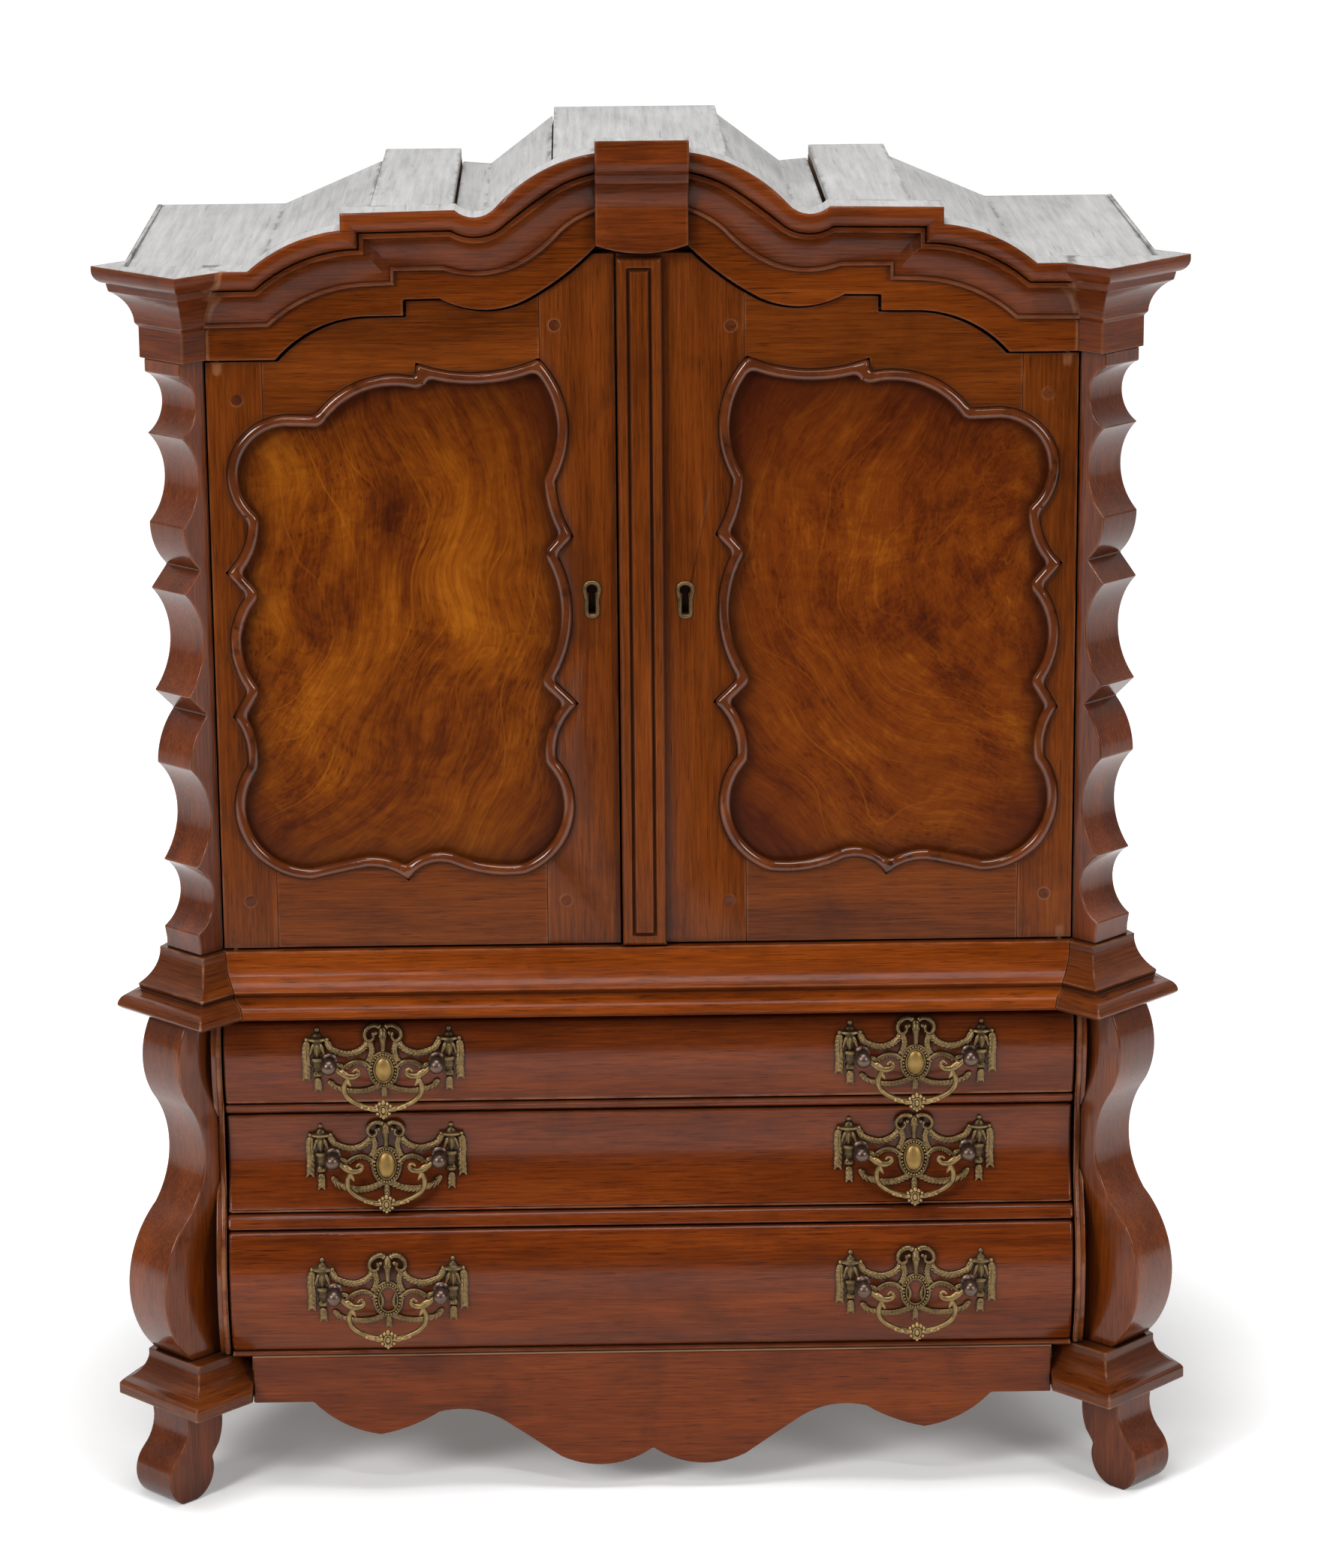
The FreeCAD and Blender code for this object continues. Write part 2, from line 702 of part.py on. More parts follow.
def handles(name, front_solid):
    """Two back plates that follow the drawer front, each with two posts bored for a bail."""
    level = handle_level(name)
    axis_depth = front_at(front_solid, level) - size("bail_stand")
    shifted = prism(f"{name}_plate_skin", front_solid.Base, ACROSS, "chest_half * 2")
    shifted.setExpression("Placement.Base.y", bound("-plate_thick"))
    plate = across(PLATE_LOWER_SHARES) + backwards(across(PLATE_UPPER_SHARES))
    plate = scaled(plate, size("plate_half"), size("plate_below") + size("plate_above"))
    solids = []
    bores = []
    for side, sign in SIDES.items():
        left = sign * size("handle_place") - size("plate_half")
        path = moved(plate, lambda x, z: (left + x, level - size("plate_below") + z))
        face = outline(f"{name}_plate_outline_{side}", path, on_face(0))
        space = prism(f"{name}_plate_space_{side}", face, INWARD, "overrun", "overrun")
        solids.append(common(f"{name}_plate_{side}", shifted, space))
        for end in (-1, 1):
            x = sign * size("handle_place") + end * size("post_half_spacing")
            start = Vector(x, front + axis_depth - size("post_end"), level)
            label = f"{name}_{side}_{'inner' if end * sign < 0 else 'outer'}"
            solids.append(rod(f"{label}_post", "post_radius", "bail_stand + post_end", INWARD, start))
            hole = Vector(x, front + axis_depth, level)
            inwards = ACROSS * -end
            bore = rod(f"{label}_bore", "bail_pin_radius + fit_gap", "post_half_spacing", inwards, hole)
            bores.append(bore)
    whole = fuse(f"{name}_handles_whole", *solids)
    seated = cut(f"{name}_handles_seated", whole, front_solid)
    node(cut(f"{name}_drawer_handles", seated, group(f"{name}_bores", *bores)))
    return axis_depth


def bail(name, side, sign, axis_depth):
    level = handle_level(name)
    middle = sign * size("handle_place")
    half = size("bail_half")
    rod_wide = size("bail_rod")
    drop = size("bail_drop")
    ear = size("bail_ear")
    bend = -(drop - half * HALF_TURN_SHARE)
    path = [
        (-half, ear), (-half, bend), ((0, -drop), (half, bend)), (half, ear),
        (half - rod_wide, ear), (half - rod_wide, bend),
        ((0, rod_wide - drop), (rod_wide - half, bend)), (rod_wide - half, ear),
    ]
    depth = axis_depth - size("bail_thick") / 2
    label = f"{name}_bail_{side}"
    face = outline(f"{label}_outline", path, lambda x, z: Vector(middle + x, front + depth, level + z))
    bow = prism(f"{label}_bow", face, INWARD, "bail_thick")
    reach = "bail_pin_reach - bail_half + bail_rod"
    pins = []
    for word, end in SIDES.items():
        start = Vector(middle + end * (half - rod_wide), front + axis_depth, level)
        pins.append(rod(f"{label}_{word}_pin", "bail_pin_radius", reach, ACROSS * end, start))
    node(fuse(label, bow, *pins))


# Waist moulding
def waist_mouldings(pins):
    """Front run mitred between the two corners; the lower hinge pins stand in the run."""
    section = section_at(WAIST_SECTION_SHARES, size("waist_reach"), waist, size("waist_height"))
    proud = size("frieze_proud")
    depth = size("waist_back") + proud
    ahead = size("block_half")
    wide = frieze_end + depth * MITRE_SHARE
    narrow = frieze_end - ahead * MITRE_SHARE
    plan = [(-wide, -depth), (-narrow, ahead), (narrow, ahead), (wide, -depth)]
    mitre_face = outline("waist_mitre_plan", plan, lambda x, p: Vector(x, front - proud - p, waist))
    mitre = prism("waist_mitre", mitre_face, UPWARD, "waist_height")
    for side, sign in SIDES.items():
        corner = moulded_corner(
            f"{side}_waist_corner", sign, "frieze", section, "waist_inner", "waist", "waist_height",
            (case_half, WAIST_SIDE_SHARE))
        node(cut(f"waist_moulding_{side}", corner, mitre))
    closed = section + [(-depth, section[-1][1]), (-depth, section[0][1])]
    face = outline("waist_front_section", closed, lambda p, z: Vector(-overrun, front - proud - p, z))
    run = prism("waist_front_run", face, ACROSS, "2 * overrun")
    node(cut("waist_moulding_front", common("waist_front_mitred", run, mitre), pins))


# Upper case
def case_boards():
    seat = f"(door_opening_half + scroll_width * {DIAGONAL})"
    depth = f"({BACK} - {FRONT})"
    for side, sign in SIDES.items():
        x = f"-{seat}" if sign < 0 else f"{seat} - board_thick"
        spans = ("board_thick", f"{depth} - post_depth + back_thick", "case_height")
        node(board(f"case_side_{side}", (x, f"{FRONT} + post_depth", "case_floor"), spans))
    inside = f"({seat} - board_thick)"
    node(board(
        "case_floor",
        ("-waist_inner", f"{FRONT} + waist_back", "case_floor - board_thick"),
        ("2 * waist_inner", f"{depth} - waist_back + back_thick", "board_thick"),
    ))
    node(board(
        "case_shelf",
        (f"-{inside}", f"{FRONT} + post_depth", "case_floor + shelf_height"),
        (f"2 * {inside}", f"{depth} - post_depth", "board_thick"),
    ))


def case_post(side, sign):
    inner = size("door_opening_half")
    outer = inner + size("scroll_width") * HALF_TURN_SHARE
    deep = size("post_depth")
    plan = [(inner, 0), (outer, outer - inner), (outer, deep), (inner, deep)]
    face = outline(f"{side}_case_post_plan", plan, lambda x, y: Vector(sign * x, front + y, case_floor))
    return prism(f"{side}_case_post", face, UPWARD, "case_height")


def scroll_pilaster(side, sign):
    origin, normal, run = canted(sign, size("door_opening_half"), 0)
    path = scaled(SCROLL_SHARES, size("scroll_reach"), size("case_height"))
    path = moved(path, lambda d, z: (d, case_floor + z))
    path += [(0, frieze_level), (0, case_floor)]
    face = outline(f"{side}_scroll_outline", path, lambda d, z: origin + normal * d + UPWARD * z)
    return node(prism(f"scroll_pilaster_{side}", face, run, "scroll_width"))


# Frieze, cornice and roof
def roof_lines(lowered):
    """Ends of each roof board's top from left to right, lowered by a length."""
    low = frieze_level + size("roof_level") - lowered
    half = size("roof_half")
    turned = [((2 - v[0], v[1]), (2 - u[0], u[1])) for u, v in ROOF_BOARD_SHARES[-2::-1]]
    pairs = ROOF_BOARD_SHARES + turned
    return [[(half * (u - 1), low + v * size("roof_rise")) for u, v in pair] for pair in pairs]


def frieze_line(gap_aside, gap_down):
    """Scalloped lower edge of the frieze's left half, drawn clear by two gaps."""
    path = scaled(FRIEZE_SHARES, frieze_end, size("frieze_rise"))
    return moved(path, lambda x, z: (x - frieze_end + gap_aside, frieze_level + z - gap_down))


def under_roof(half):
    """Roof underside from the right end to the left, for boards that reach up to it."""
    line = [point for pair in roof_lines(size("roof_thick")) for point in pair]
    return [(half, line[0][1])] + line[-2:0:-1] + [(-half, line[0][1])]


def cornice_corner(side, sign, pins):
    height = size("cornice_height")
    section = section_at(CORNICE_SECTION_SHARES, size("cornice_reach"), frieze_level, height)
    whole = moulded_corner(
        f"{side}_cornice_whole", sign, "frieze", section, "cornice_inner", "frieze_level", "cornice_height",
        (case_half, CORNICE_SIDE_SHARE))
    x = "-roof_half" if sign < 0 else "cornice_inner"
    rebate = board(
        f"{side}_roof_rebate",
        (x, f"{FRONT} - frieze_proud", "frieze_level + roof_level - roof_thick"),
        ("roof_half - cornice_inner", "overrun", "cornice_height"),
    )
    clear = cut(f"{side}_cornice_rebated", whole, rebate)
    node(cut(f"cornice_corner_{side}", clear, pins))
    return whole


def frieze(corners, pins):
    left = frieze_line(0, 0)
    right = moved(backwards(left), lambda x, z: (-x, z))
    path = left + right + under_roof(frieze_end)
    face = outline("frieze_outline", path, on_face(-size("frieze_proud")))
    slab = prism("frieze_slab", face, INWARD, "frieze_thick")
    fitted = cut("frieze_fitted", slab, corners)
    return node(cut("frieze", fitted, pins))


def cornice_run(side, sign, corners):
    """Front cornice from a corner to the keystone, in three steps of growing reach."""
    def place(u, v):
        x = frieze_end - u * (frieze_end - size("keystone_half"))
        return Vector(sign * x, front - size("frieze_proud"), frieze_level + v * size("cornice_rise"))
    steps = []
    for name, share, reach in (
        ("cove", 0, "cove_reach"),
        ("fillet", FILLET_SHARE, "fillet_reach"),
        ("ovolo", OVOLO_SHARE, "cornice_reach"),
    ):
        low = blended(CORNICE_FOOT_SHARES, CORNICE_TOP_SHARES, share)
        face = outline(f"{side}_{name}_outline", low + backwards(CORNICE_TOP_SHARES), place)
        steps.append(prism(f"{side}_{name}", face, OUTWARD, reach))
    whole = fuse(f"{side}_cornice_steps", *steps)
    return node(cut(f"cornice_{side}", whole, corners))


def keystone():
    low = frieze_level + size("frieze_rise") - size("keystone_drop")
    proud = size("frieze_proud")
    half = size("keystone_half")
    height = size("keystone_height") + size("keystone_drop")
    path = scaled(KEYSTONE_SECTION_SHARES, size("keystone_reach") - size("keystone_proud"), height)
    path = moved(path, lambda p, z: (proud + size("keystone_proud") + p, low + z))
    top_back = proud + size("keystone_reach") - size("keystone_top_depth")
    step = low + height * KEYSTONE_STEP_SHARE
    path += [(top_back, low + height), (top_back, step), (proud, step), (proud, low)]
    face = outline("keystone_section", path, lambda p, z: Vector(-half, front - p, z))
    block = prism("keystone_block", face, ACROSS, "keystone_half * 2")
    rise = low + size("keystone_drop")
    tip = [(-half, rise), ((0, low), (half, rise)), (half, low - half), (-half, low - half)]
    under = outline("keystone_under_outline", tip, on_face(0))
    hollow = prism("keystone_under", under, OUTWARD, "overrun")
    return node(cut("keystone", block, hollow))


def roof_boards():
    depth = f"{BACK} - {FRONT} + back_thick + frieze_proud"
    thick = size("roof_thick")
    boards = []
    for number, (one, two) in enumerate(roof_lines(0), start=1):
        quad = [one, two] + [(x, z - thick) for x, z in (two, one)]
        face = outline(f"roof_board_{number}_outline", quad, on_face(-size("frieze_proud")))
        boards.append(prism(f"roof_board_{number}", face, INWARD, depth))
    return node(group("roof_boards", *boards))


def case_back():
    half = case_half - size("board_thick")
    path = [(-half, case_floor), (half, case_floor), (half, frieze_level)]
    inner = size("cornice_inner")
    path += [(inner, frieze_level)] + under_roof(inner) + [(-inner, frieze_level), (-half, frieze_level)]
    face = outline("case_back_outline", path, lambda x, z: Vector(x, back - size("back_thick"), z))
    return node(prism("case_back", face, INWARD, "back_thick"))


# Doors
def pivots():
    """Hinge pins: one below and one above each door's outer stile."""
    rods = {}
    for side, sign in SIDES.items():
        x = sign * (size("door_opening_half") - size("door_gap") - size("pivot_set"))
        for end, level in (("low", case_floor), ("high", frieze_level)):
            reach = size("pivot_entry") if end == "low" else size("pivot_length") - size("pivot_entry")
            start = Vector(x, front + size("pivot_depth"), level - reach)
            pin = rod(f"{side}_{end}_pivot", "pivot_radius", "pivot_length", UPWARD, start)
            rods[side, end] = (start, pin)
    return rods


def door(side, sign, pivot_rods):
    """Framed leaf with a scalloped head, a cartouche opening, its bead and its panel."""
    outer = size("door_opening_half") - size("door_gap")
    half_gap = size("door_gap") / 2
    inner = size("meeting_set") + half_gap if sign < 0 else half_gap - size("meeting_set")
    bottom = case_floor + size("door_lift")
    head = frieze_line(size("frieze_gap"), size("frieze_gap"))
    tall = frieze_level + size("frieze_rise") - size("frieze_gap")
    path = [(-outer, bottom), (-outer, head[0][1])] + head + [(-inner, tall), (-inner, bottom)]
    face = outline(f"{side}_leaf_outline", path, lambda x, z: Vector(-sign * x, front, z))
    leaf = prism(f"{side}_leaf", face, INWARD, "door_thick")

    left = size("door_opening_half") - size("door_gap") - size("cartouche_set")
    lift = case_floor + size("cartouche_lift")
    width, height = size("cartouche_width"), size("cartouche_height")

    def place(depth):
        return lambda u, v: Vector(sign * (left - u * width), front + depth, lift + v * height)

    opening_face = outline(f"{side}_opening_outline", CARTOUCHE_SHARES, place(0))
    opening = prism(f"{side}_opening", opening_face, INWARD, "door_thick")
    framed = cut(f"{side}_frame", leaf, opening)

    def piece(label, start, wide, low, tall_text):
        x = f"-({start}) - ({wide})" if sign < 0 else start
        space = board(f"{label}_space", (x, f"{FRONT} - overrun", low), (wide, "2 * overrun", tall_text))
        return common(label, framed, space)

    outer_text = "(door_opening_half - door_gap)"
    inner_text = "(meeting_set + door_gap / 2)" if sign < 0 else "(door_gap / 2 - meeting_set)"
    low_text = "(case_floor + door_lift)"
    head_text = "(door_head - frieze_gap)"
    stile_text = "inner_stile" if sign < 0 else "(inner_stile + 2 * meeting_set - door_gap)"
    stile_start = f"{outer_text} - outer_stile"
    blank = piece(f"{side}_outer_stile_blank", stile_start, "outer_stile", low_text, head_text)
    bores = []
    for end in ("low", "high"):
        start, _ = pivot_rods[side, end]
        label = f"{side}_{end}_pivot_bore"
        bores.append(rod(label, "pivot_radius + fit_gap", "pivot_length", UPWARD, start))
    outer_stile = cut(f"{side}_outer_stile", blank, group(f"{side}_pivot_bores", *bores))
    inner_stile = piece(f"{side}_inner_stile", inner_text, stile_text, low_text, head_text)
    node(group(f"{side}_door_stiles", outer_stile, inner_stile))
    rail_start = f"{inner_text} + {stile_text}"
    rail_wide = f"{outer_text} - outer_stile - {inner_text} - {stile_text}"
    half_way = "(cartouche_lift + cartouche_height / 2)"
    bottom_rail = piece(f"{side}_bottom_rail", rail_start, rail_wide, low_text, half_way)
    top_rail = piece(f"{side}_top_rail", rail_start, rail_wide, f"{low_text} + {half_way}", head_text)
    node(group(f"{side}_door_rails", bottom_rail, top_rail))

    bead_face = outline(f"{side}_bead_outline", CARTOUCHE_SHARES, place(-size("bead_proud")))
    bead_inner = doc.addObject("Part::Offset2D", f"{side}_bead_inner_outline")
    bead_inner.Source = bead_face
    bead_inner.setExpression("Value", bound("-bead_width"))
    whole = prism(f"{side}_bead_whole", bead_face, INWARD, "bead_proud * 2")
    hollow = prism(f"{side}_bead_hollow", bead_inner, INWARD, "bead_proud * 2")
    node(cut(f"{side}_door_bead", whole, hollow))
    panel_face = outline(f"{side}_panel_outline", CARTOUCHE_SHARES, place(size("bead_proud")))
    node(prism(f"{side}_door_panel", panel_face, INWARD, "panel_thick"))

    place_text = f"{side}_escutcheon_place"
    middle = f"-{place_text}" if sign < 0 else place_text
    level = "case_floor + escutcheon_level"
    node(board(
        f"{side}_door_escutcheon",
        (f"{middle} - escutcheon_width / 2", f"{FRONT} - escutcheon_thick", level),
        ("escutcheon_width", "escutcheon_thick", "escutcheon_height"),
    ))


def astragal():
    """Cover strip on the right door that hides the meeting of the two leaves."""
    return node(board(
        "right_door_astragal",
        ("-meeting_set + door_gap / 2", f"{FRONT} - astragal_thick", "case_floor + door_lift"),
        ("astragal_width", "astragal_thick", "astragal_height"),
    ))


# Assembly
pivot_rods = pivots()
pins = group("pivot_pins", *[pin for _, pin in pivot_rods.values()])
node(pins)
front_solid = chest_front()
doc.recompute()

rear_feet()
apron()
chest_boards()
rails(front_solid)
runners()
waist_mouldings(pins)
case_boards()
for side, sign in SIDES.items():
    scroll_pilaster(side, sign)
pilasters = {side: bombe_pilaster(side, sign) for side, sign in SIDES.items()}
node(group("front_feet", *[foot(side, sign) for side, sign in SIDES.items()]))
node(group("foot_blocks", *[foot_block(side, sign) for side, sign in SIDES.items()]))
posts = [chest_post(side, sign, front_solid, pilasters[side]) for side, sign in SIDES.items()]
node(group("chest_posts", *posts))
node(group("case_posts", *[case_post(side, sign) for side, sign in SIDES.items()]))
corners = fuse("cornice_corners", *[cornice_corner(side, sign, pins) for side, sign in SIDES.items()])
frieze(corners, pins)
for side, sign in SIDES.items():
    cornice_run(side, sign, corners)
    door(side, sign, pivot_rods)
keystone()
roof_boards()
case_back()
astragal()
for name in DRAWERS:
    drawer(name, front_solid)
    axis_depth = handles(name, front_solid)
    for side, sign in SIDES.items():
        bail(name, side, sign, axis_depth)

doc.recompute()

# Every object is sound before anything is written
for feature in doc.Objects:
    if {"Invalid", "Error"} & set(feature.State):
        raise RuntimeError(f"{feature.Label} failed: {feature.State}")
for feature in kept:
    if feature.Shape.isNull() or not feature.Shape.isValid() or not feature.Shape.Solids:
        raise RuntimeError(f"{feature.Label} has no sound solid")

os.makedirs("parts", exist_ok=True)
for feature in kept:
    feature.Shape.exportStep(f"parts/{feature.Label}.step")
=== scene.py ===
# Kas cupboard dressed for the photograph's view: polished mahogany, figured door panels,
# cast brass handles, worn painted roof boards, on a plain white studio floor.
import json
import math

import bpy
from mathutils import Matrix, Vector


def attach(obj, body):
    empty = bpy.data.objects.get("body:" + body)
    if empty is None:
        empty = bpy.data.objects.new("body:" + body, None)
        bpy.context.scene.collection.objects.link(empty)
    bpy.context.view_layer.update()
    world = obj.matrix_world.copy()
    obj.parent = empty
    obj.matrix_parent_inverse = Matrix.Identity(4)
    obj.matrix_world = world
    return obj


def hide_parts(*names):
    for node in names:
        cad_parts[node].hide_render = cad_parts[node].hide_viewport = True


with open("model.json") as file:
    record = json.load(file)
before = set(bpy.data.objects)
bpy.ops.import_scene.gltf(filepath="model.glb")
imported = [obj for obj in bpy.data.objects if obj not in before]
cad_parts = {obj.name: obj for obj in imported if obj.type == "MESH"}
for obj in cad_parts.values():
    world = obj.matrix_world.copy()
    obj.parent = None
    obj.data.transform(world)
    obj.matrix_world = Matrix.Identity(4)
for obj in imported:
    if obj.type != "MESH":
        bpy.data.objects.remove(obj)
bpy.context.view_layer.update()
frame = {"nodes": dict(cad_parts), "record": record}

MM = 0.001
DOOR_FACE = -106.852
FRIEZE_FACE = -110.852
SEAM = 0.02 * MM
FINE_SEAM = 0.005 * MM
FLAT_ANGLE = math.radians(0.3)
DRAWERS = ("low", "middle", "high")
SIDES = {"left": -1, "right": 1}
record_bodies = frame["record"]["behaviour"]["bodies"]
BODY_OF = {node: body for body, nodes in record_bodies.items() for node in nodes}
SLOT_OF = {row["node"]: row["material_slot"] for row in frame["record"]["subparts"]}


# Hand tools
def deselect():
    if bpy.context.mode != "OBJECT":
        bpy.ops.object.mode_set(mode="OBJECT")
    bpy.ops.object.select_all(action="DESELECT")


def take(piece):
    """Make one object the only selected and active one."""
    deselect()
    piece.select_set(True)
    bpy.context.view_layer.objects.active = piece
    return piece


def edit(piece):
    take(piece)
    bpy.context.tool_settings.mesh_select_mode = (True, False, False)
    bpy.ops.object.mode_set(mode="EDIT")
    bpy.ops.mesh.select_all(action="SELECT")


def done():
    bpy.ops.object.mode_set(mode="OBJECT")
    return bpy.context.active_object


def pick_faces(piece, wanted):
    """Open a piece in edit mode with only the wanted faces selected."""
    take(piece)
    bpy.context.tool_settings.mesh_select_mode = (False, False, True)
    bpy.ops.object.mode_set(mode="EDIT")
    bpy.ops.mesh.select_all(action="DESELECT")
    bpy.ops.object.mode_set(mode="OBJECT")
    for face in piece.data.polygons:
        face.select = wanted(face)
    bpy.ops.object.mode_set(mode="EDIT")


def settle(piece):
    """Put an object's place, turn and size into its mesh."""
    take(piece)
    bpy.ops.object.transform_apply(location=True, rotation=True, scale=True)
    return piece


def close_up(piece):
    """Merge seams and turn every face outwards."""
    edit(piece)
    bpy.ops.mesh.remove_doubles(threshold=SEAM)
    bpy.ops.mesh.normals_make_consistent(inside=False)
    return done()


def finish_with(piece, kind, **settings):
    """Add a modifier, set it up and apply it."""
    take(piece)
    modifier = piece.modifiers.new(kind.lower(), kind)
    for name, value in settings.items():
        setattr(modifier, name, value)
    bpy.ops.object.modifier_apply(modifier=modifier.name)
    return piece


def smooth(piece, angle=32):
    take(piece)
    bpy.ops.object.shade_smooth_by_angle(angle=math.radians(angle))
    return piece


def round_edges(piece, width, segments=3, angle=32, flat=True):
    """Ease every edge sharper than an angle by a width in mm; flat keeps level faces level."""
    finish_with(
        piece, "BEVEL", width=width * MM, segments=segments, limit_method="ANGLE",
        angle_limit=math.radians(angle), use_clamp_overlap=False, miter_outer="MITER_ARC",
    )
    smooth(piece, angle)
    if flat:
        finish_with(piece, "WEIGHTED_NORMAL", keep_sharp=True, weight=80)
    return piece


def copy_of(piece, name):
    take(piece)
    bpy.ops.object.duplicate()
    twin = bpy.context.active_object
    twin.name = name
    return twin


def joined(pieces, name):
    deselect()
    for piece in pieces:
        piece.select_set(True)
    bpy.context.view_layer.objects.active = pieces[0]
    if len(pieces) > 1:
        bpy.ops.object.join()
    whole = bpy.context.active_object
    whole.name = name
    return settle(whole)


def mirrored(piece, name):
    """Copy on the other side of the middle plane."""
    twin = copy_of(piece, name)
    twin.scale.x = -1
    settle(twin)
    edit(twin)
    bpy.ops.mesh.normals_make_consistent(inside=False)
    return done()


def thrown_away(piece):
    take(piece)
    bpy.ops.object.delete()


def dress(piece, material, body, slot, *nodes):
    """Give a finished piece its material, the body it moves with and the nodes it stands for."""
    piece.data.materials.clear()
    piece.data.materials.append(material)
    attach(piece, body)
    if nodes:
        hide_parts(*nodes)
    return piece


def eased(node, width, material, segments=3, angle=32, flat=True):
    """Copy of a solid with its arrises eased by a width in mm, standing in the solid's place."""
    piece = copy_of(frame["nodes"][node], node + "_eased")
    for key in list(piece.keys()):
        del piece[key]
    piece.parent = None
    edit(piece)
    bpy.ops.mesh.remove_doubles(threshold=FINE_SEAM)
    bpy.ops.mesh.dissolve_limited(angle_limit=FLAT_ANGLE)
    done()
    round_edges(piece, width, segments, angle, flat)
    return dress(piece, material, BODY_OF[node], SLOT_OF[node], node)


ROOF_FRONT = -100.0
ROOF_HALF = 307.0


def paint_tops(piece, paint, level):
    """Second material above a level, on the faces that look up or lie within the roof's edge."""
    piece.data.materials.append(paint)
    for face in piece.data.polygons:
        within = face.center.y > ROOF_FRONT * MM and abs(face.center.x) < ROOF_HALF * MM
        if face.center.z > level * MM and (face.normal.z > 0.9 or within):
            face.material_index = 1


# Drawn lines, in mm
def arc(start, through, end, steps):
    """Points on the circle through three points, without the first."""
    (ax, ay), (bx, by), (cx, cy) = start, through, end
    d = 2 * (ax * (by - cy) + bx * (cy - ay) + cx * (ay - by))
    a2, b2, c2 = ax * ax + ay * ay, bx * bx + by * by, cx * cx + cy * cy
    ox = (a2 * (by - cy) + b2 * (cy - ay) + c2 * (ay - by)) / d
    oy = (a2 * (cx - bx) + b2 * (ax - cx) + c2 * (bx - ax)) / d
    first = math.atan2(ay - oy, ax - ox)
    middle = (math.atan2(by - oy, bx - ox) - first) % math.tau
    last = (math.atan2(cy - oy, cx - ox) - first) % math.tau
    sweep = last if middle < last else last - math.tau
    radius = math.hypot(ax - ox, ay - oy)
    turns = [first + sweep * step / steps for step in range(1, steps + 1)]
    return [(ox + radius * math.cos(turn), oy + radius * math.sin(turn)) for turn in turns]


def drawn_line(first, *parts, steps=8):
    """Line of straight runs and three-point arcs; an arc is a pair of points."""
    line = [first]
    for part in parts:
        if isinstance(part[0], tuple):
            line += arc(line[-1], part[0], part[1], steps)
        else:
            line.append(part)
    return line


def between(line, value):
    """Second number of a line at a value of its first."""
    for (a, b), (c, d) in zip(line, line[1:]):
        if a <= value <= c:
            return b + (d - b) * (value - a) / max(c - a, 1e-9)
    return line[0][1] if value < line[0][0] else line[-1][1]


def in_lengths(path, place):
    """Drawn line from a path in shares, each of its points put in place first."""
    placed = []
    for step in path:
        if isinstance(step[0], tuple):
            placed.append(tuple(place(*point) for point in step))
        else:
            placed.append(place(*step))
    return drawn_line(*placed)


FRONT_FOOT = 93
FRONT_HEIGHT = 223
FRONT_SWELL = 28
FRONT_SHARES = [
    (0.54, 0.0), ((1.0, 0.225), (0.43, 0.435)), ((0.14, 0.57), (0.34, 0.735)), ((0.57, 0.87), (0.32, 1.0)),
]
FRONT_LINE = in_lengths(
    FRONT_SHARES, lambda out, rise: (FRONT_FOOT + FRONT_HEIGHT * rise, DOOR_FACE - FRONT_SWELL * out))


def drawer_face(z):
    """Depth of the S-curved chest front at a height."""
    return between(FRONT_LINE, z)


# Shapes from a few strokes, in mm
def slab(low, high):
    """Block between two corners."""
    deselect()
    bpy.ops.mesh.primitive_cube_add(size=1, location=[(a + b) / 2 * MM for a, b in zip(low, high)])
    block = bpy.context.active_object
    block.scale = [(b - a) * MM for a, b in zip(low, high)]
    return settle(block)


def tube(points, radii, kind="NURBS", closed=False, sides=3):
    """Rod along a path of (x, z, out), with a radius at each point."""
    deselect()
    bpy.ops.curve.primitive_nurbs_path_add()
    rod = bpy.context.active_object
    rod.data.splines.clear()
    spline = rod.data.splines.new(kind)
    spline.points.add(len(points) - 1)
    for point, (x, z, out), radius in zip(spline.points, points, radii):
        point.co = (x * MM, -out * MM, z * MM, 1)
        point.radius = radius
    if kind == "NURBS":
        spline.order_u = 4
        spline.use_endpoint_u = not closed
    spline.use_cyclic_u = closed
    rod.data.resolution_u = 5
    rod.data.bevel_depth = MM
    rod.data.bevel_resolution = sides
    rod.data.use_fill_caps = True
    take(rod)
    bpy.ops.object.convert(target="MESH")
    return close_up(bpy.context.active_object)


def spun(profile, steps=18):
    """Turned shape about the upright axis through the origin, from (radius, height)."""
    deselect()
    bpy.ops.mesh.primitive_plane_add(size=0.001)
    turned = bpy.context.active_object
    edit(turned)
    bpy.ops.mesh.merge(type="CENTER")
    at = Vector((0, 0, 0))
    for index, (radius, height) in enumerate(profile):
        place = Vector((radius * MM, 0, height * MM))
        if index == 0:
            bpy.ops.transform.translate(value=place)
        else:
            bpy.ops.mesh.extrude_region_move(TRANSFORM_OT_translate={"value": place - at})
        at = place
    bpy.ops.mesh.select_all(action="SELECT")
    bpy.ops.mesh.spin(steps=steps, angle=math.tau, center=(0, 0, 0), axis=(0, 0, 1))
    done()
    return close_up(turned)


def ball(x, z, out, radius, tall=1.0, flat=1.0, segments=8, rings=5):
    deselect()
    bpy.ops.mesh.primitive_uv_sphere_add(
        segments=segments, ring_count=rings, radius=radius * MM, location=(x * MM, -out * MM, z * MM))
    bead = bpy.context.active_object
    bead.scale = (1, flat, tall)
    return bead


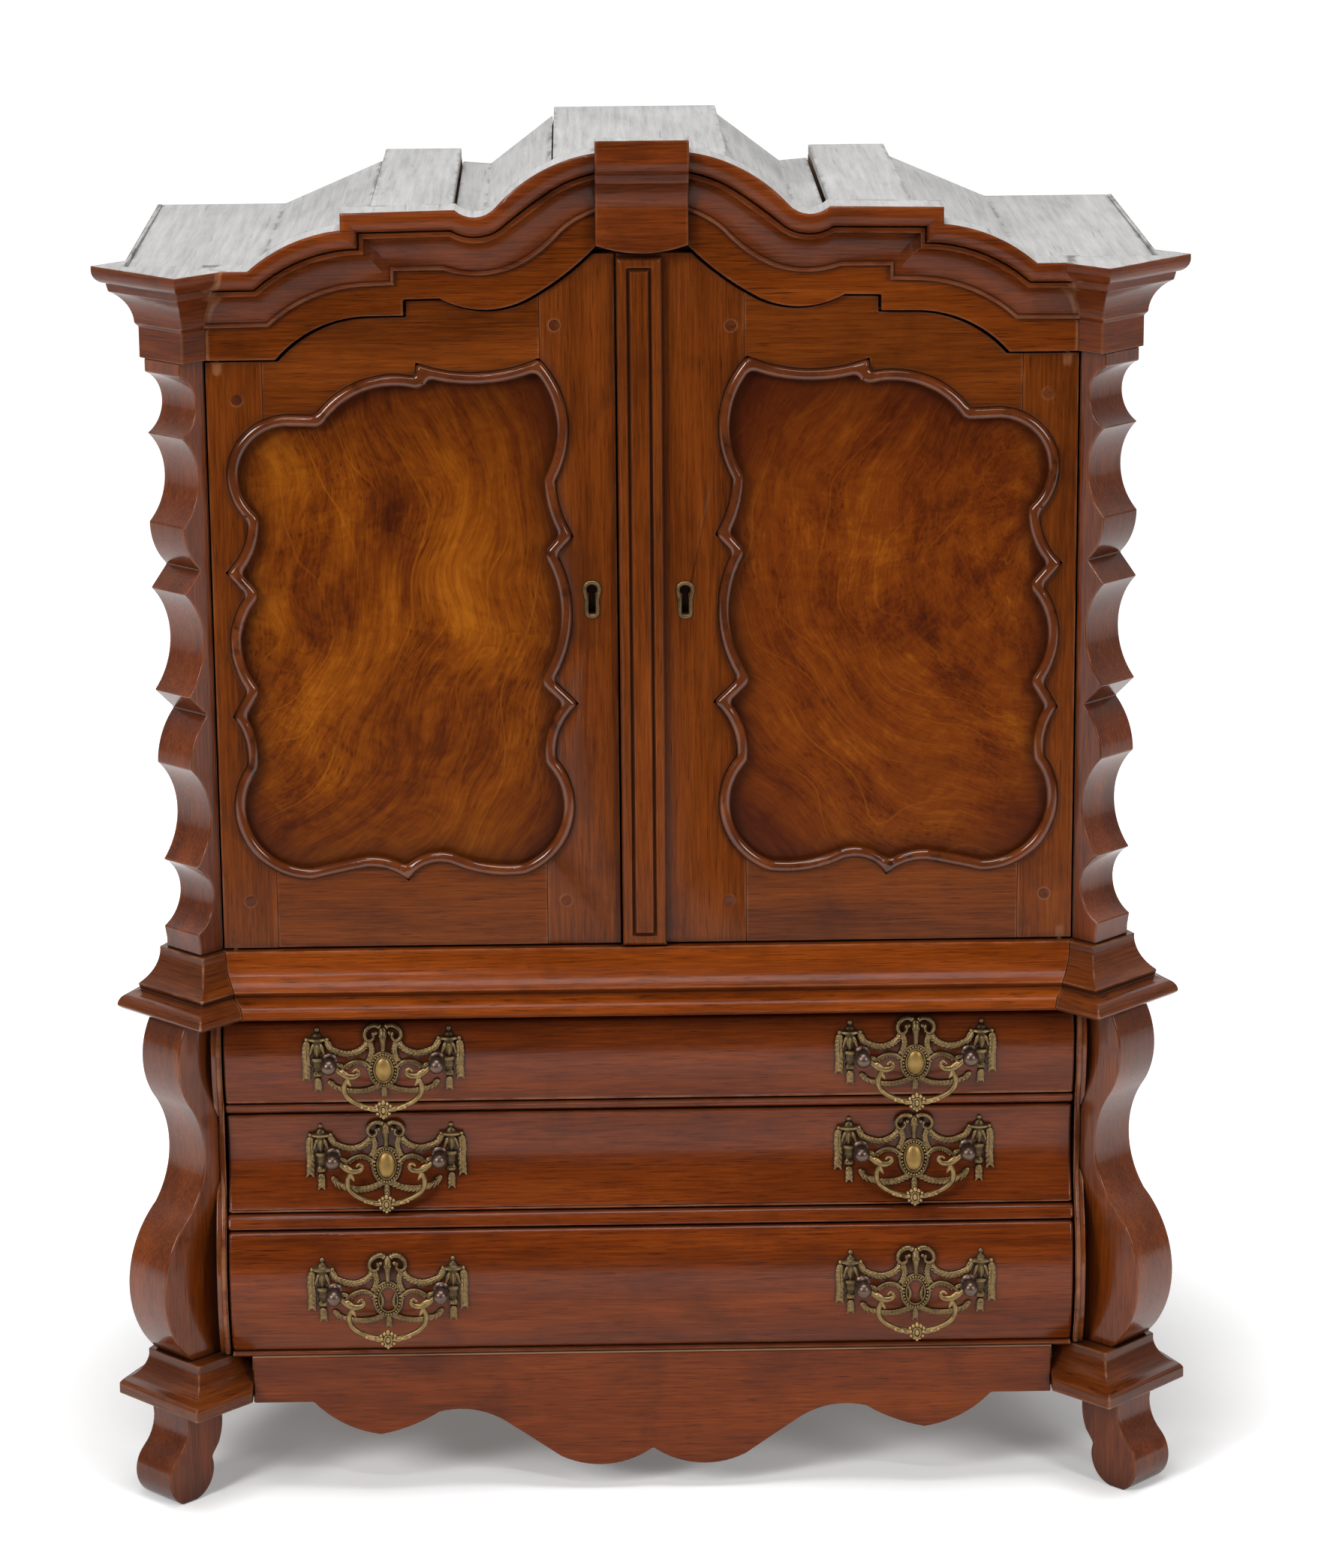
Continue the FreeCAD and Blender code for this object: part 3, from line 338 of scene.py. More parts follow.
def leaf_pattern():
    """One pointed leaf, a length and a width of 1 mm, standing on its stalk end."""
    leaf = ball(0, 0, 0, 0.5, segments=8, rings=6)
    settle(leaf)
    finish_with(leaf, "SIMPLE_DEFORM", deform_method="TAPER", deform_axis="Z", factor=-1.1)
    leaf.location.z = 0.5 * MM
    settle(leaf)
    leaf.name = "leaf_pattern"
    return leaf


def leaf(x, z, out, angle, length, width):
    """Copy of the leaf, its tip turned from upright by an angle in degrees."""
    twin = copy_of(LEAF, "leaf")
    twin.location = (x * MM, -out * MM, z * MM)
    twin.rotation_euler = (0, math.radians(angle), 0)
    twin.scale = (width, width * 0.62, length)
    return twin


def on_soft_curve(share, before, start, end, after):
    """Value between a start and an end, on a curve that also heeds their neighbours."""
    bend = 2 * before - 5 * start + 4 * end - after
    twist = 3 * start - before - 3 * end + after
    return 0.5 * (2 * start + (end - before) * share + bend * share * share + twist * share ** 3)


CURVE_STEPS = 12


def flowing(points, spacing):
    """Evenly spaced (x, z, heading) on a soft curve through points."""
    path = [points[0], *points, points[-1]]
    fine = []
    for neighbours in zip(path, path[1:], path[2:], path[3:]):
        for step in range(CURVE_STEPS):
            fine.append([on_soft_curve(step / CURVE_STEPS, *values) for values in zip(*neighbours)])
    fine.append(list(points[-1]))
    spots = []
    since = spacing
    for (ax, az), (bx, bz) in zip(fine, fine[1:]):
        since += math.hypot(bx - ax, bz - az)
        if since >= spacing:
            since = 0
            spots.append((bx, bz, math.degrees(math.atan2(bx - ax, bz - az))))
    return spots


LEAF_SPREAD = 26


def leaf_rope(points, width, spacing, out):
    """Festoon: a cord with leaves laid along both of its sides."""
    spots = flowing(points, spacing)
    cord = tube([(x, z, out) for x, z, _ in spots], [width * 0.26] * len(spots), sides=1)
    leaves = []
    for x, z, heading in spots[:-1]:
        for side in (-1, 1):
            leaves.append(leaf(x, z, out + 0.3, heading + side * LEAF_SPREAD, spacing * 2.0, width * 0.5))
    return [cord, *leaves]


def bent_to_front(piece, across, level):
    """Lay a flat casting on the curved drawer front."""
    for point in piece.data.vertices:
        point.co.z += level * MM
        point.co.x += across * MM
        point.co.y += drawer_face(point.co.z / MM) * MM
    return piece


# Materials
class Nodes:
    """Adds shader nodes to one material, or to the world, and links them."""

    def __init__(self, owner, shader="Principled BSDF"):
        owner.use_nodes = True
        self.owner = owner
        self.tree = owner.node_tree
        self.shader = self.tree.nodes[shader]

    def put(self, socket, value):
        if isinstance(value, bpy.types.NodeSocket):
            self.tree.links.new(value, socket)
        elif isinstance(value, (tuple, list)) and socket.type == "RGBA":
            socket.default_value = (*value[:3], 1.0)
        else:
            socket.default_value = value

    def add(self, kind, settings=None, **inputs):
        node = self.tree.nodes.new("ShaderNode" + kind)
        for name, value in (settings or {}).items():
            setattr(node, name, value)
        for name, value in inputs.items():
            self.put(node.inputs[name.replace("_", " ")], value)
        return node

    def place(self, scale, shift=(0, 0, 0)):
        """Object coordinates stretched and shifted."""
        where = self.add("TexCoord")
        node = self.add("Mapping", Vector=where.outputs["Object"], Scale=scale, Location=shift)
        return node.outputs["Vector"]

    def laid(self, lengths, centre):
        """Object coordinates about a centre, measured in lengths of figure."""
        where = self.add("TexCoord")
        node = self.add(
            "Mapping", {"vector_type": "TEXTURE"}, Vector=where.outputs["Object"], Scale=lengths,
            Location=centre)
        return node.outputs["Vector"]

    def swirl(self, centre, push, scale):
        """Distance from a centre and turn about it, both pushed about by a slow noise."""
        flat = self.laid((1, 1000, 1), centre)
        where = self.add("SeparateXYZ", Vector=self.warped(flat, scale, push))
        x, z = where.outputs["X"], where.outputs["Z"]
        squares = self.math("ADD", self.times(x, x), self.times(z, z))
        far = self.math("SQRT", squares)
        turn = self.math("ARCTAN2", x, self.times(z, -1))
        return self.add("CombineXYZ", X=far, Y=turn).outputs["Vector"]

    def stretched(self, vector, scale):
        return self.add("Mapping", Vector=vector, Scale=scale).outputs["Vector"]

    def warped(self, vector, scale, amount):
        """Coordinates pushed about by a slow noise."""
        push = self.add("TexNoise", Vector=vector, Scale=scale, Detail=2.0)
        node = self.add("VectorMath", {"operation": "MULTIPLY_ADD"})
        for socket, value in zip(node.inputs, (push.outputs["Color"], (amount,) * 3, vector)):
            self.put(socket, value)
        return node.outputs["Vector"]

    def noise(self, vector, detail, roughness=0.55, distortion=0.0):
        """Noise in a pattern's own lengths."""
        node = self.add(
            "TexNoise", Vector=vector, Scale=1.0, Detail=detail, Roughness=roughness,
            Distortion=distortion)
        return node.outputs["Fac"]

    def ramp(self, value, *stops):
        node = self.add("ValToRGB", Fac=value)
        points = node.color_ramp.elements
        while len(points) < len(stops):
            points.new(0.5)
        for point, (place, colour) in zip(points, stops):
            point.position = place
            point.color = (*colour, 1.0)
        return node.outputs["Color"]

    def ranged(self, value, low, high, bottom, top, **settings):
        """Value carried from one range to another and kept within it."""
        node = self.add("MapRange", settings, Value=value)
        for socket, limit in zip(node.inputs[1:5], (low, high, bottom, top)):
            socket.default_value = limit
        return node.outputs["Result"]

    def mask(self, value, low, high, top=1.0):
        """From nothing below one value to a full share above another."""
        return self.ranged(value, low, high, 0.0, top)

    def spread(self, value, low, high):
        """Value from 0 to 1 turned into a range."""
        return self.ranged(value, 0.0, 1.0, low, high)

    def tint(self, colour, tone, mask, share=1.0):
        """Colour mixed with a tone by a mask, or by a share of it."""
        amount = mask if share == 1.0 else self.times(mask, share)
        node = self.add("Mix", {"data_type": "RGBA"})
        for socket, value in ((node.inputs[0], amount), (node.inputs[6], colour), (node.inputs[7], tone)):
            self.put(socket, value)
        return node.outputs[2]

    def math(self, operation, one, two=0.0):
        node = self.add("Math", {"operation": operation})
        self.put(node.inputs[0], one)
        self.put(node.inputs[1], two)
        return node.outputs[0]

    def times(self, one, two):
        return self.math("MULTIPLY", one, two)

    def sum_of(self, *shares):
        """Values added up, each by its own share."""
        total = None
        for value, share in shares:
            part = self.times(value, share)
            total = part if total is None else self.math("ADD", total, part)
        return total

    def hollows(self, reach, low, high):
        """Share of a corner's grime and painted shade, from how closed in the place is."""
        closed = self.add("AmbientOcclusion", {"samples": 6}, Distance=reach)
        return self.math("SUBTRACT", 1.0, self.mask(closed.outputs["AO"], low, high))

    def edges(self, reach, low, high):
        """Share of wear, from how near a sharp edge the place is."""
        inner = self.add("AmbientOcclusion", {"samples": 6, "inside": True}, Distance=reach)
        return self.mask(inner.outputs["AO"], high, low)

    def bump(self, height, distance, strength):
        return self.add("Bump", Height=height, Distance=distance, Strength=strength).outputs["Normal"]

    def surface(self, **inputs):
        for name, value in inputs.items():
            self.put(self.shader.inputs[name.replace("_", " ")], value)
        return self.owner


def finish_nodes(name):
    return Nodes(bpy.data.materials.new(name))


# Near-black of grime and painted shade in the tightest creases
GRIME_AND_SHADE = (0.016, 0.008, 0.006)
RUBBED_WOOD = (0.4, 0.19, 0.09)


def mahogany(name, stretch, tones, shift, gloss, polish, wear):
    """Shellacked mahogany: streaked figure, fine pores, grime and painted shade in the corners, rubbed
    edges.
    """
    dark, middle, light = tones
    make = finish_nodes(name)
    grain = make.noise(make.warped(make.place(stretch, shift), 0.4, 0.5), 7.0, 0.65, 0.2)
    broad = make.noise(make.place([v * 0.05 + 3 for v in stretch], shift), 3.0, 0.5, 0.6)
    figure = make.sum_of((grain, 0.6), (broad, 0.4))
    colour = make.ramp(figure, (0.33, dark), (0.5, middle), (0.67, light))
    pores = make.noise(make.place([v * 1.7 for v in stretch], shift), 3.0, 0.6)
    pore = make.mask(pores, 0.43, 0.3)
    colour = make.tint(colour, [v * 0.4 for v in dark], pore, 0.8)
    spots = make.noise(make.place((48, 48, 48), shift), 3.0, 0.5)
    colour = make.tint(colour, light, make.mask(spots, 0.7, 0.8, 0.25))
    stains = make.noise(make.place((17, 17, 17), shift), 4.0, 0.6, 0.4)
    colour = make.tint(colour, [v * 0.7 for v in dark], make.mask(stains, 0.54, 0.74, 0.55))
    rubbed = make.times(make.edges(0.002, 0.6, 0.86), make.mask(spots, 0.38, 0.58, wear))
    colour = make.tint(colour, RUBBED_WOOD, rubbed)
    # Painted shade with grime: darker within 30 mm of corners and recesses, near black in the tightest
    # creases
    colour = make.tint(colour, [v * 0.5 for v in dark], make.hollows(0.03, 0.45, 1.0), 0.5)
    colour = make.tint(colour, GRIME_AND_SHADE, make.hollows(0.006, 0.35, 0.85), 0.75)
    height = make.sum_of((grain, 0.6), (pore, -0.5))
    return make.surface(
        Base_Color=colour, Roughness=make.spread(broad, gloss - 0.06, gloss + 0.1),
        Normal=make.bump(height, 0.00012, 0.4), Specular_IOR_Level=0.3 * polish,
        Coat_Weight=0.4 * polish, Coat_Roughness=0.45 * gloss, Coat_IOR=1.4)


# Grain as stretch along each axis, and each wood's dark, middle and light tone
UPRIGHT = (820, 820, 30)
LEVEL = (30, 30, 820)
EVEN = (40, 40, 40)
END_GRAIN = (240, 60, 240)
CASE_WOOD = ((0.046, 0.0085, 0.0014), (0.112, 0.0215, 0.0028), (0.185, 0.039, 0.005))
CHEST_WOOD = ((0.056, 0.0094, 0.0009), (0.116, 0.0202, 0.0015), (0.186, 0.0365, 0.003))
PILASTER_WOOD = ((0.062, 0.012, 0.0016), (0.132, 0.027, 0.0034), (0.21, 0.046, 0.006))
WAIST_WOOD = ((0.076, 0.0135, 0.0014), (0.156, 0.03, 0.0026), (0.245, 0.053, 0.005))
# Darker copy of the case wood for the waist corners and foot blocks: painted shade for their canted side
# faces
SHADED_CORNER_WOOD = ((0.04, 0.0082, 0.0015), (0.086, 0.0188, 0.0032), (0.14, 0.034, 0.0058))
DOOR_WOOD = ((0.05, 0.0098, 0.0008), (0.114, 0.0236, 0.0016), (0.182, 0.041, 0.0034))
BEAD_WOOD = ((0.042, 0.0088, 0.0016), (0.086, 0.0185, 0.0034), (0.14, 0.033, 0.006))
PEG_WOOD = ((0.036, 0.007, 0.001), (0.078, 0.016, 0.0018), (0.12, 0.027, 0.003))
FRIEZE_WOOD = ((0.055, 0.0107, 0.0008), (0.124, 0.0245, 0.0017), (0.2, 0.042, 0.0034))
# Each finish: grain, tones, place in the figure, roughness of the gloss, polish, rubbing of the edges
upright_wood = mahogany("upright_mahogany", UPRIGHT, CASE_WOOD, (0, 0, 0), 0.2, 0.75, 0.3)
foot_wood = mahogany("foot_mahogany", UPRIGHT, CASE_WOOD, (0.7, 0.2, 0.3), 0.24, 0.6, 0.6)
level_wood = mahogany("level_mahogany", LEVEL, CASE_WOOD, (0.3, 0.1, 0.7), 0.26, 0.38, 0.3)
waist_wood = mahogany("waist_mahogany", LEVEL, WAIST_WOOD, (0.6, 0.3, 0.1), 0.26, 0.22, 0.4)
# Painted shade: the darker corner copy of the case wood
shaded_corner_wood = mahogany("shaded_corner_mahogany", LEVEL, SHADED_CORNER_WOOD, (0.1, 0.6, 0.1), 0.24, 0.5, 0.6)
apron_wood = mahogany("apron_mahogany", LEVEL, CHEST_WOOD, (0.4, 0.6, 0.2), 0.26, 0.45, 0.0)
drawer_wood = mahogany("drawer_mahogany", LEVEL, CHEST_WOOD, (0.9, 0.1, 0.2), 0.24, 0.52, 0.3)
pilaster_wood = mahogany("pilaster_mahogany", UPRIGHT, PILASTER_WOOD, (0.2, 1.1, 0.4), 0.16, 0.75, 0.3)
door_upright = mahogany("door_stile_mahogany", UPRIGHT, DOOR_WOOD, (1.3, 0, 0), 0.28, 0.36, 0.3)
door_level = mahogany("door_rail_mahogany", LEVEL, DOOR_WOOD, (0, 0.4, 0), 0.28, 0.36, 0.3)
frieze_wood = mahogany("frieze_mahogany", LEVEL, FRIEZE_WOOD, (0.4, 0.2, 0.1), 0.28, 0.3, 0.3)
bead_wood = mahogany("bead_mahogany", EVEN, BEAD_WOOD, (0, 0, 0), 0.12, 0.9, 0.0)
peg_wood = mahogany("peg_mahogany", END_GRAIN, PEG_WOOD, (0, 0, 0), 0.34, 0.5, 0.0)


LEFT_FIGURE = (
    (0.4, (0.0368, 0.00552, 0.000644)), (0.47, (0.092, 0.0175, 0.00092)),
    (0.53, (0.156, 0.0359, 0.00138)), (0.63, (0.285, 0.0828, 0.00414)),
)
RIGHT_FIGURE = (
    (0.4, (0.0378, 0.00538, 0.000756)), (0.47, (0.089, 0.0155, 0.00101)),
    (0.54, (0.139, 0.0286, 0.0016)), (0.64, (0.252, 0.0689, 0.0042)),
)
GROWTH_LINE_SHARE = 0.4
PANEL_SHADE_SHARE = 0.8
PANEL_SHADE = (0.025, 0.006, 0.002)
PANEL_REACH = (0.1, 1000, 0.155)


def flame(name, centre, middle, stops):
    """Crotch-figured veneer: curved flames, fibres, flecks and fine growth lines, darker by its rim."""
    make = finish_nodes(name)
    flow = make.swirl(centre, 0.11, 5.5)
    broad = make.noise(make.stretched(flow, (12, 1.6, 1)), 2.0, 0.5, 0.5)
    bands = make.noise(make.stretched(flow, (34, 2.0, 1)), 4.0, 0.62, 0.5)
    streaks = make.noise(make.stretched(flow, (120, 3.2, 1)), 4.0, 0.7, 0.3)
    fibres = make.noise(make.stretched(flow, (560, 11, 1)), 5.0, 0.7)
    mottle = make.noise(make.stretched(flow, (85, 24, 1)), 4.0, 0.62, 0.9)
    flecks = make.noise(make.stretched(flow, (700, 30, 1)), 2.0, 0.5)
    value = make.sum_of(
        (broad, 0.27), (bands, 0.25), (streaks, 0.19), (fibres, 0.17), (mottle, 0.12))
    colour = make.ramp(value, *stops)
    fleck = make.times(make.mask(flecks, 0.56, 0.66), make.mask(bands, 0.58, 0.42))
    colour = make.tint(colour, stops[0][1], fleck, 0.6)
    waver = make.noise(make.stretched(flow, (7, 1.2, 1)), 2.0, 0.4)
    distance = make.add("SeparateXYZ", Vector=flow).outputs["X"]
    rings = make.math("FRACT", make.sum_of((distance, 38.0), (waver, 5.0)))
    line = make.times(make.mask(rings, 0.94, 0.97), make.mask(rings, 1.0, 0.975))
    line = make.times(line, make.mask(broad, 0.35, 0.6))
    colour = make.tint(colour, stops[-1][1], line, GROWTH_LINE_SHARE)
    off = make.add("SeparateXYZ", Vector=make.laid(PANEL_REACH, middle))
    sides = make.math("POWER", make.math("ABSOLUTE", off.outputs["X"]), 4.0)
    ends = make.math("POWER", make.math("ABSOLUTE", off.outputs["Z"]), 4.0)
    near_rim = make.math("ADD", make.math("ADD", sides, ends), make.spread(bands, -0.35, 0.35))
    colour = make.tint(colour, stops[0][1], make.mask(near_rim, 0.1, 1.2, 0.7))
    colour = make.tint(colour, PANEL_SHADE, make.hollows(0.014, 0.3, 0.95), PANEL_SHADE_SHARE)
    return make.surface(
        Base_Color=colour, Roughness=make.spread(mottle, 0.26, 0.4), Normal=make.bump(fibres, 0.0001, 0.3),
        Specular_IOR_Level=0.08, Coat_Weight=0.14, Coat_Roughness=0.12, Coat_IOR=1.4)


left_flame = flame("left_flame_veneer", (-0.3, 0, 0.66), (-0.15, 0, 0.55), LEFT_FIGURE)
right_flame = flame("right_flame_veneer", (0.31, 0.3, 0.67), (0.15, 0, 0.55), RIGHT_FIGURE)


def painted_boards(name):
    """Old grey-white paint on boards: fine brush drag, cracks along the grain, specks, rubbed edges."""
    make = finish_nodes(name)
    drag = make.noise(make.place((260, 12, 260)), 5.0, 0.65, 0.2)
    patch = make.noise(make.place((16, 9, 16)), 5.0, 0.6, 0.5)
    colour = make.ramp(
        make.sum_of((drag, 0.6), (patch, 0.4)), (0.34, (0.27, 0.267, 0.263)),
        (0.5, (0.37, 0.366, 0.361)), (0.66, (0.455, 0.45, 0.445)))
    split = make.noise(make.warped(make.place((420, 9, 420)), 0.3, 1.0), 3.0, 0.6)
    crack = make.mask(split, 0.35, 0.29)
    speck = make.mask(make.noise(make.place((620, 460, 620)), 3.0, 0.6), 0.32, 0.27)
    rub = make.mask(make.noise(make.place((90, 40, 90)), 4.0), 0.46, 0.6)
    worn = make.times(make.edges(0.0035, 0.6, 0.9), rub)
    mark = make.math("MAXIMUM", make.times(crack, 0.5), speck)
    mark = make.math("MAXIMUM", mark, worn)
    colour = make.tint(colour, (0.085, 0.07, 0.06), mark, 0.75)
    # Painted shade in the corners between the boards
    colour = make.tint(colour, (0.05, 0.043, 0.038), make.hollows(0.005, 0.3, 0.8), 0.4)
    return make.surface(
        Base_Color=colour, Roughness=make.spread(patch, 0.55, 0.8), Specular_IOR_Level=0.25,
        Normal=make.bump(make.math("SUBTRACT", drag, mark), 0.0004, 0.5))


def plain_wood(name, stretch):
    """Unpolished secondary wood of the inside and the back."""
    make = finish_nodes(name)
    grain = make.noise(make.warped(make.place(stretch), 0.3, 0.8), 6.0, 0.6, 0.3)
    patch = make.noise(make.place((5, 5, 5)), 3.0, 0.5)
    colour = make.ramp(
        grain, (0.34, (0.1, 0.048, 0.022)), (0.5, (0.19, 0.1, 0.048)), (0.66, (0.27, 0.155, 0.078)))
    colour = make.tint(colour, (0.1, 0.055, 0.03), make.spread(patch, 0.0, 0.4))
    return make.surface(
        Base_Color=colour, Roughness=make.spread(grain, 0.6, 0.8), Normal=make.bump(grain, 0.0003, 0.4))


def cast_metal(name, tones, rough, grime):
    """Cast metal, dark in the hollows and rubbed bright on the relief."""
    dull, warm, bright = tones
    make = finish_nodes(name)
    patch = make.noise(make.place((300, 300, 300)), 4.0, 0.6)
    shape = make.add("NewGeometry").outputs["Pointiness"]
    rubbed = make.math("ADD", shape, make.spread(patch, -0.07, 0.07))
    colour = make.ramp(rubbed, (0.44, dull), (0.52, warm), (0.62, bright))
    colour = make.tint(colour, (0.02, 0.014, 0.009), make.hollows(0.0025, 0.25, 0.85), grime)
    return make.surface(
        Base_Color=colour, Metallic=0.9, Roughness=make.spread(patch, rough - 0.1, rough + 0.1),
        Normal=make.bump(patch, 0.00008, 0.5))


roof_paint = painted_boards("worn_roof_paint")
inner_upright = plain_wood("inner_wood_upright", (90, 90, 6))
inner_level = plain_wood("inner_wood_level", (6, 70, 90))
DARK_BRASS = ((0.022, 0.0145, 0.0075), (0.07, 0.046, 0.021), (0.26, 0.17, 0.072))
HANDLED_BRASS = ((0.035, 0.023, 0.0095), (0.115, 0.075, 0.03), (0.36, 0.24, 0.1))
GILT_BRASS = ((0.17, 0.1, 0.03), (0.26, 0.16, 0.05), (0.36, 0.23, 0.08))
BROWN_BRONZE = ((0.06, 0.038, 0.028), (0.1, 0.065, 0.05), (0.15, 0.1, 0.08))
plate_brass = cast_metal("dark_cast_brass", DARK_BRASS, 0.42, 0.85)
bail_brass = cast_metal("handled_brass", HANDLED_BRASS, 0.38, 0.85)
boss_brass = cast_metal("gilt_boss_brass", GILT_BRASS, 0.45, 0.5)
knob_bronze = cast_metal("brown_bronze", BROWN_BRONZE, 0.36, 0.5)

# Wooden solids with eased edges
ROOF_EDGE = 774.2
RIM_DROP = 2.8
SIDE_RUN_FRONT = -98.0
CORNER_PAINT_LEVEL = 768
KEYSTONE_PAINT_LEVEL = 840
APRON_TOP = 82.0
APRON_LIFT = 8.5
APRON_PROUD = 0.5


def cornice_corner(side):
    """Corner of the cornice; the top of its side run lies level with the roof boards."""
    corner = eased(f"cornice_corner_{side}", 0.6, level_wood)
    for point in corner.data.vertices:
        if point.co.z > ROOF_EDGE * MM and point.co.y > SIDE_RUN_FRONT * MM:
            point.co.z -= RIM_DROP * MM
    paint_tops(corner, roof_paint, CORNER_PAINT_LEVEL)


def apron_board():
    """Apron board carried up over the edge of the chest floor."""
    board = eased("apron", 1.1, apron_wood)
    for point in board.data.vertices:
        if point.co.z > APRON_TOP * MM:
            point.co.z += APRON_LIFT * MM
        point.co.y -= APRON_PROUD * MM


for side in SIDES:
    eased(f"{side}_door_rails", 0.5, door_level)
    eased(f"{side}_door_bead", 3.3, bead_wood, 6, 40, False)
    eased(f"scroll_pilaster_{side}", 0.9, upright_wood)
    eased(f"bombe_pilaster_{side}", 1.2, pilaster_wood)
    eased(f"waist_moulding_{side}", 0.6, shaded_corner_wood)
    eased(f"case_side_{side}", 0.8, upright_wood)
    eased(f"chest_side_{side}", 0.8, upright_wood)
    cornice_corner(side)
eased("frieze", 0.8, frieze_wood)
eased("foot_blocks", 0.8, shaded_corner_wood)
eased("waist_moulding_front", 0.6, waist_wood)
paint_tops(eased("keystone", 0.9, level_wood), roof_paint, KEYSTONE_PAINT_LEVEL)
eased("front_feet", 1.2, foot_wood)
eased("rear_feet", 2.0, foot_wood)
eased("case_posts", 0.6, upright_wood)
eased("chest_posts", 0.8, pilaster_wood)
for level in DRAWERS:
    eased(f"{level}_drawer_front", 2.2, drawer_wood, 4)
for node in ("drawer_rail_low", "drawer_rail_high"):
    eased(node, 2.6, drawer_wood, 5)
eased("roof_boards", 0.8, roof_paint, 2, 12)
apron_board()


# Front runs of the cornice
RUN_START = -259.9
RUN_LENGTH = 232.4
RUN_FOOT = 720
RUN_RISE = 124.3
RUN_DEPTH = 26
RUN_SMOOTH = 28
RUN_PAINT_FRONT = -126
RUN_PAINT_BACK = -118
RUN_PAINT_SLOPE = 0.35
FOOT_SHARES = [
    (0.0, 0.161), (0.163, 0.165), ((0.246, 0.274), (0.404, 0.354)), (0.4855, 0.359), (0.4855, 0.427),
    (0.612, 0.428), ((0.707, 0.401), (0.783, 0.428)), ((0.851, 0.499), (0.912, 0.603)),
    ((0.955, 0.66), (1.0, 0.696)),
]
TOP_SHARES = [
    (0.0, 0.4586), (0.12, 0.4586), ((0.228, 0.587), (0.352, 0.649)), (0.357, 0.649), (0.357, 0.73),
    (0.6455, 0.74), ((0.697, 0.704), (0.748, 0.748)), ((0.818, 0.865), (0.881, 0.933)),
    ((0.942, 0.977), (1.0, 1.0)),
]
SECTION_SHARES = drawn_line(
    (-0.1, 0.0), (0.1, 0.0), (0.13, 0.03), (0.12, 0.06), (0.07, 0.075), ((0.2, 0.36), (0.6, 0.56)),
    (0.68, 0.57), (0.69, 0.645), (0.64, 0.665), (0.72, 0.685), ((0.93, 0.75), (1.0, 0.89)),
    (0.995, 0.96), (0.96, 1.0), (-0.1, 1.0), (-0.1, 0.0), steps=7)


def run_line(shares):
    """Line along the left run, from shares of its length and rise."""
    return in_lengths(
        shares, lambda along, climb: (RUN_START + RUN_LENGTH * along, RUN_FOOT + RUN_RISE * climb))


def cornice_run():
    """Left run of the front moulding, its section carried between the lower and the upper line."""
    lower, upper = run_line(FOOT_SHARES), run_line(TOP_SHARES)
    columns, rows = len(lower), len(SECTION_SHARES)
    deselect()
    bpy.ops.mesh.primitive_grid_add(x_subdivisions=columns - 1, y_subdivisions=rows - 1, size=0.1)
    run = bpy.context.active_object
    for row, (out, climb) in enumerate(SECTION_SHARES):
        y = FRIEZE_FACE - RUN_DEPTH * out
        for column, ((foot_x, foot_z), (top_x, top_z)) in enumerate(zip(lower, upper)):
            x = foot_x + (top_x - foot_x) * climb
            z = foot_z + (top_z - foot_z) * climb
            run.data.vertices[row * columns + column].co = Vector((x, y, z)) * MM
    edit(run)
    bpy.ops.mesh.remove_doubles(threshold=SEAM)
    bpy.ops.mesh.fill_holes(sides=0)
    bpy.ops.mesh.normals_make_consistent(inside=False)
    done()
    return smooth(run, RUN_SMOOTH)


left_run = cornice_run()
left_run.name = "cornice_run_left"
right_run = mirrored(left_run, "cornice_run_right")
smooth(right_run, RUN_SMOOTH)
for run, side in ((left_run, "left"), (right_run, "right")):
    dress(run, level_wood, "carcass", "mahogany", f"cornice_{side}")
    run.data.materials.append(roof_paint)
    for face in run.data.polygons:
        inner = RUN_PAINT_FRONT * MM < face.center.y < RUN_PAINT_BACK * MM
        if inner and face.normal.z > RUN_PAINT_SLOPE:
            face.material_index = 1


# Doors: cover strip, keyholes, pegs
KEYHOLES = {"left": (-32.0, 571.5), "right": (24.3, 570.5)}
EYE_RADIUS = 3.1
EYE_RISE = 5.6
SLOT_HALF = 2.0
SLOT_RISE = 5.5
SLOT_DROP = 9
CUT_PROUD = 1
CUT_DEPTH = 8
RIM_RADIUS = 1.25
RIM_FLATNESS = 0.75
RIM_PROUD = 0.15
RIM_POINTS = [
    (0, 10.2), (3.3, 9.7), (4.8, 6.6), (4.2, 3.2), (3.3, 0.8), (3.3, -3.0), (3.6, -7.6), (2.9, -10.4),
    (0, -10.9),
]


def keyhole_cutter(across, level):
    """Prism with a keyhole's outline, through the front of a stile."""
    middle = DOOR_FACE + (CUT_DEPTH - CUT_PROUD) / 2
    deselect()
    bpy.ops.mesh.primitive_cylinder_add(
        vertices=24, radius=EYE_RADIUS * MM, depth=(CUT_PROUD + CUT_DEPTH) * MM,
        rotation=(math.pi / 2, 0, 0), location=(across * MM, middle * MM, (level + EYE_RISE) * MM))
    eye = settle(bpy.context.active_object)
    slot = slab(
        (across - SLOT_HALF, DOOR_FACE - CUT_PROUD, level - SLOT_DROP),
        (across + SLOT_HALF, DOOR_FACE + CUT_DEPTH, level + SLOT_RISE))
    return finish_with(eye, "BOOLEAN", object=slot, operation="UNION", solver="EXACT"), slot


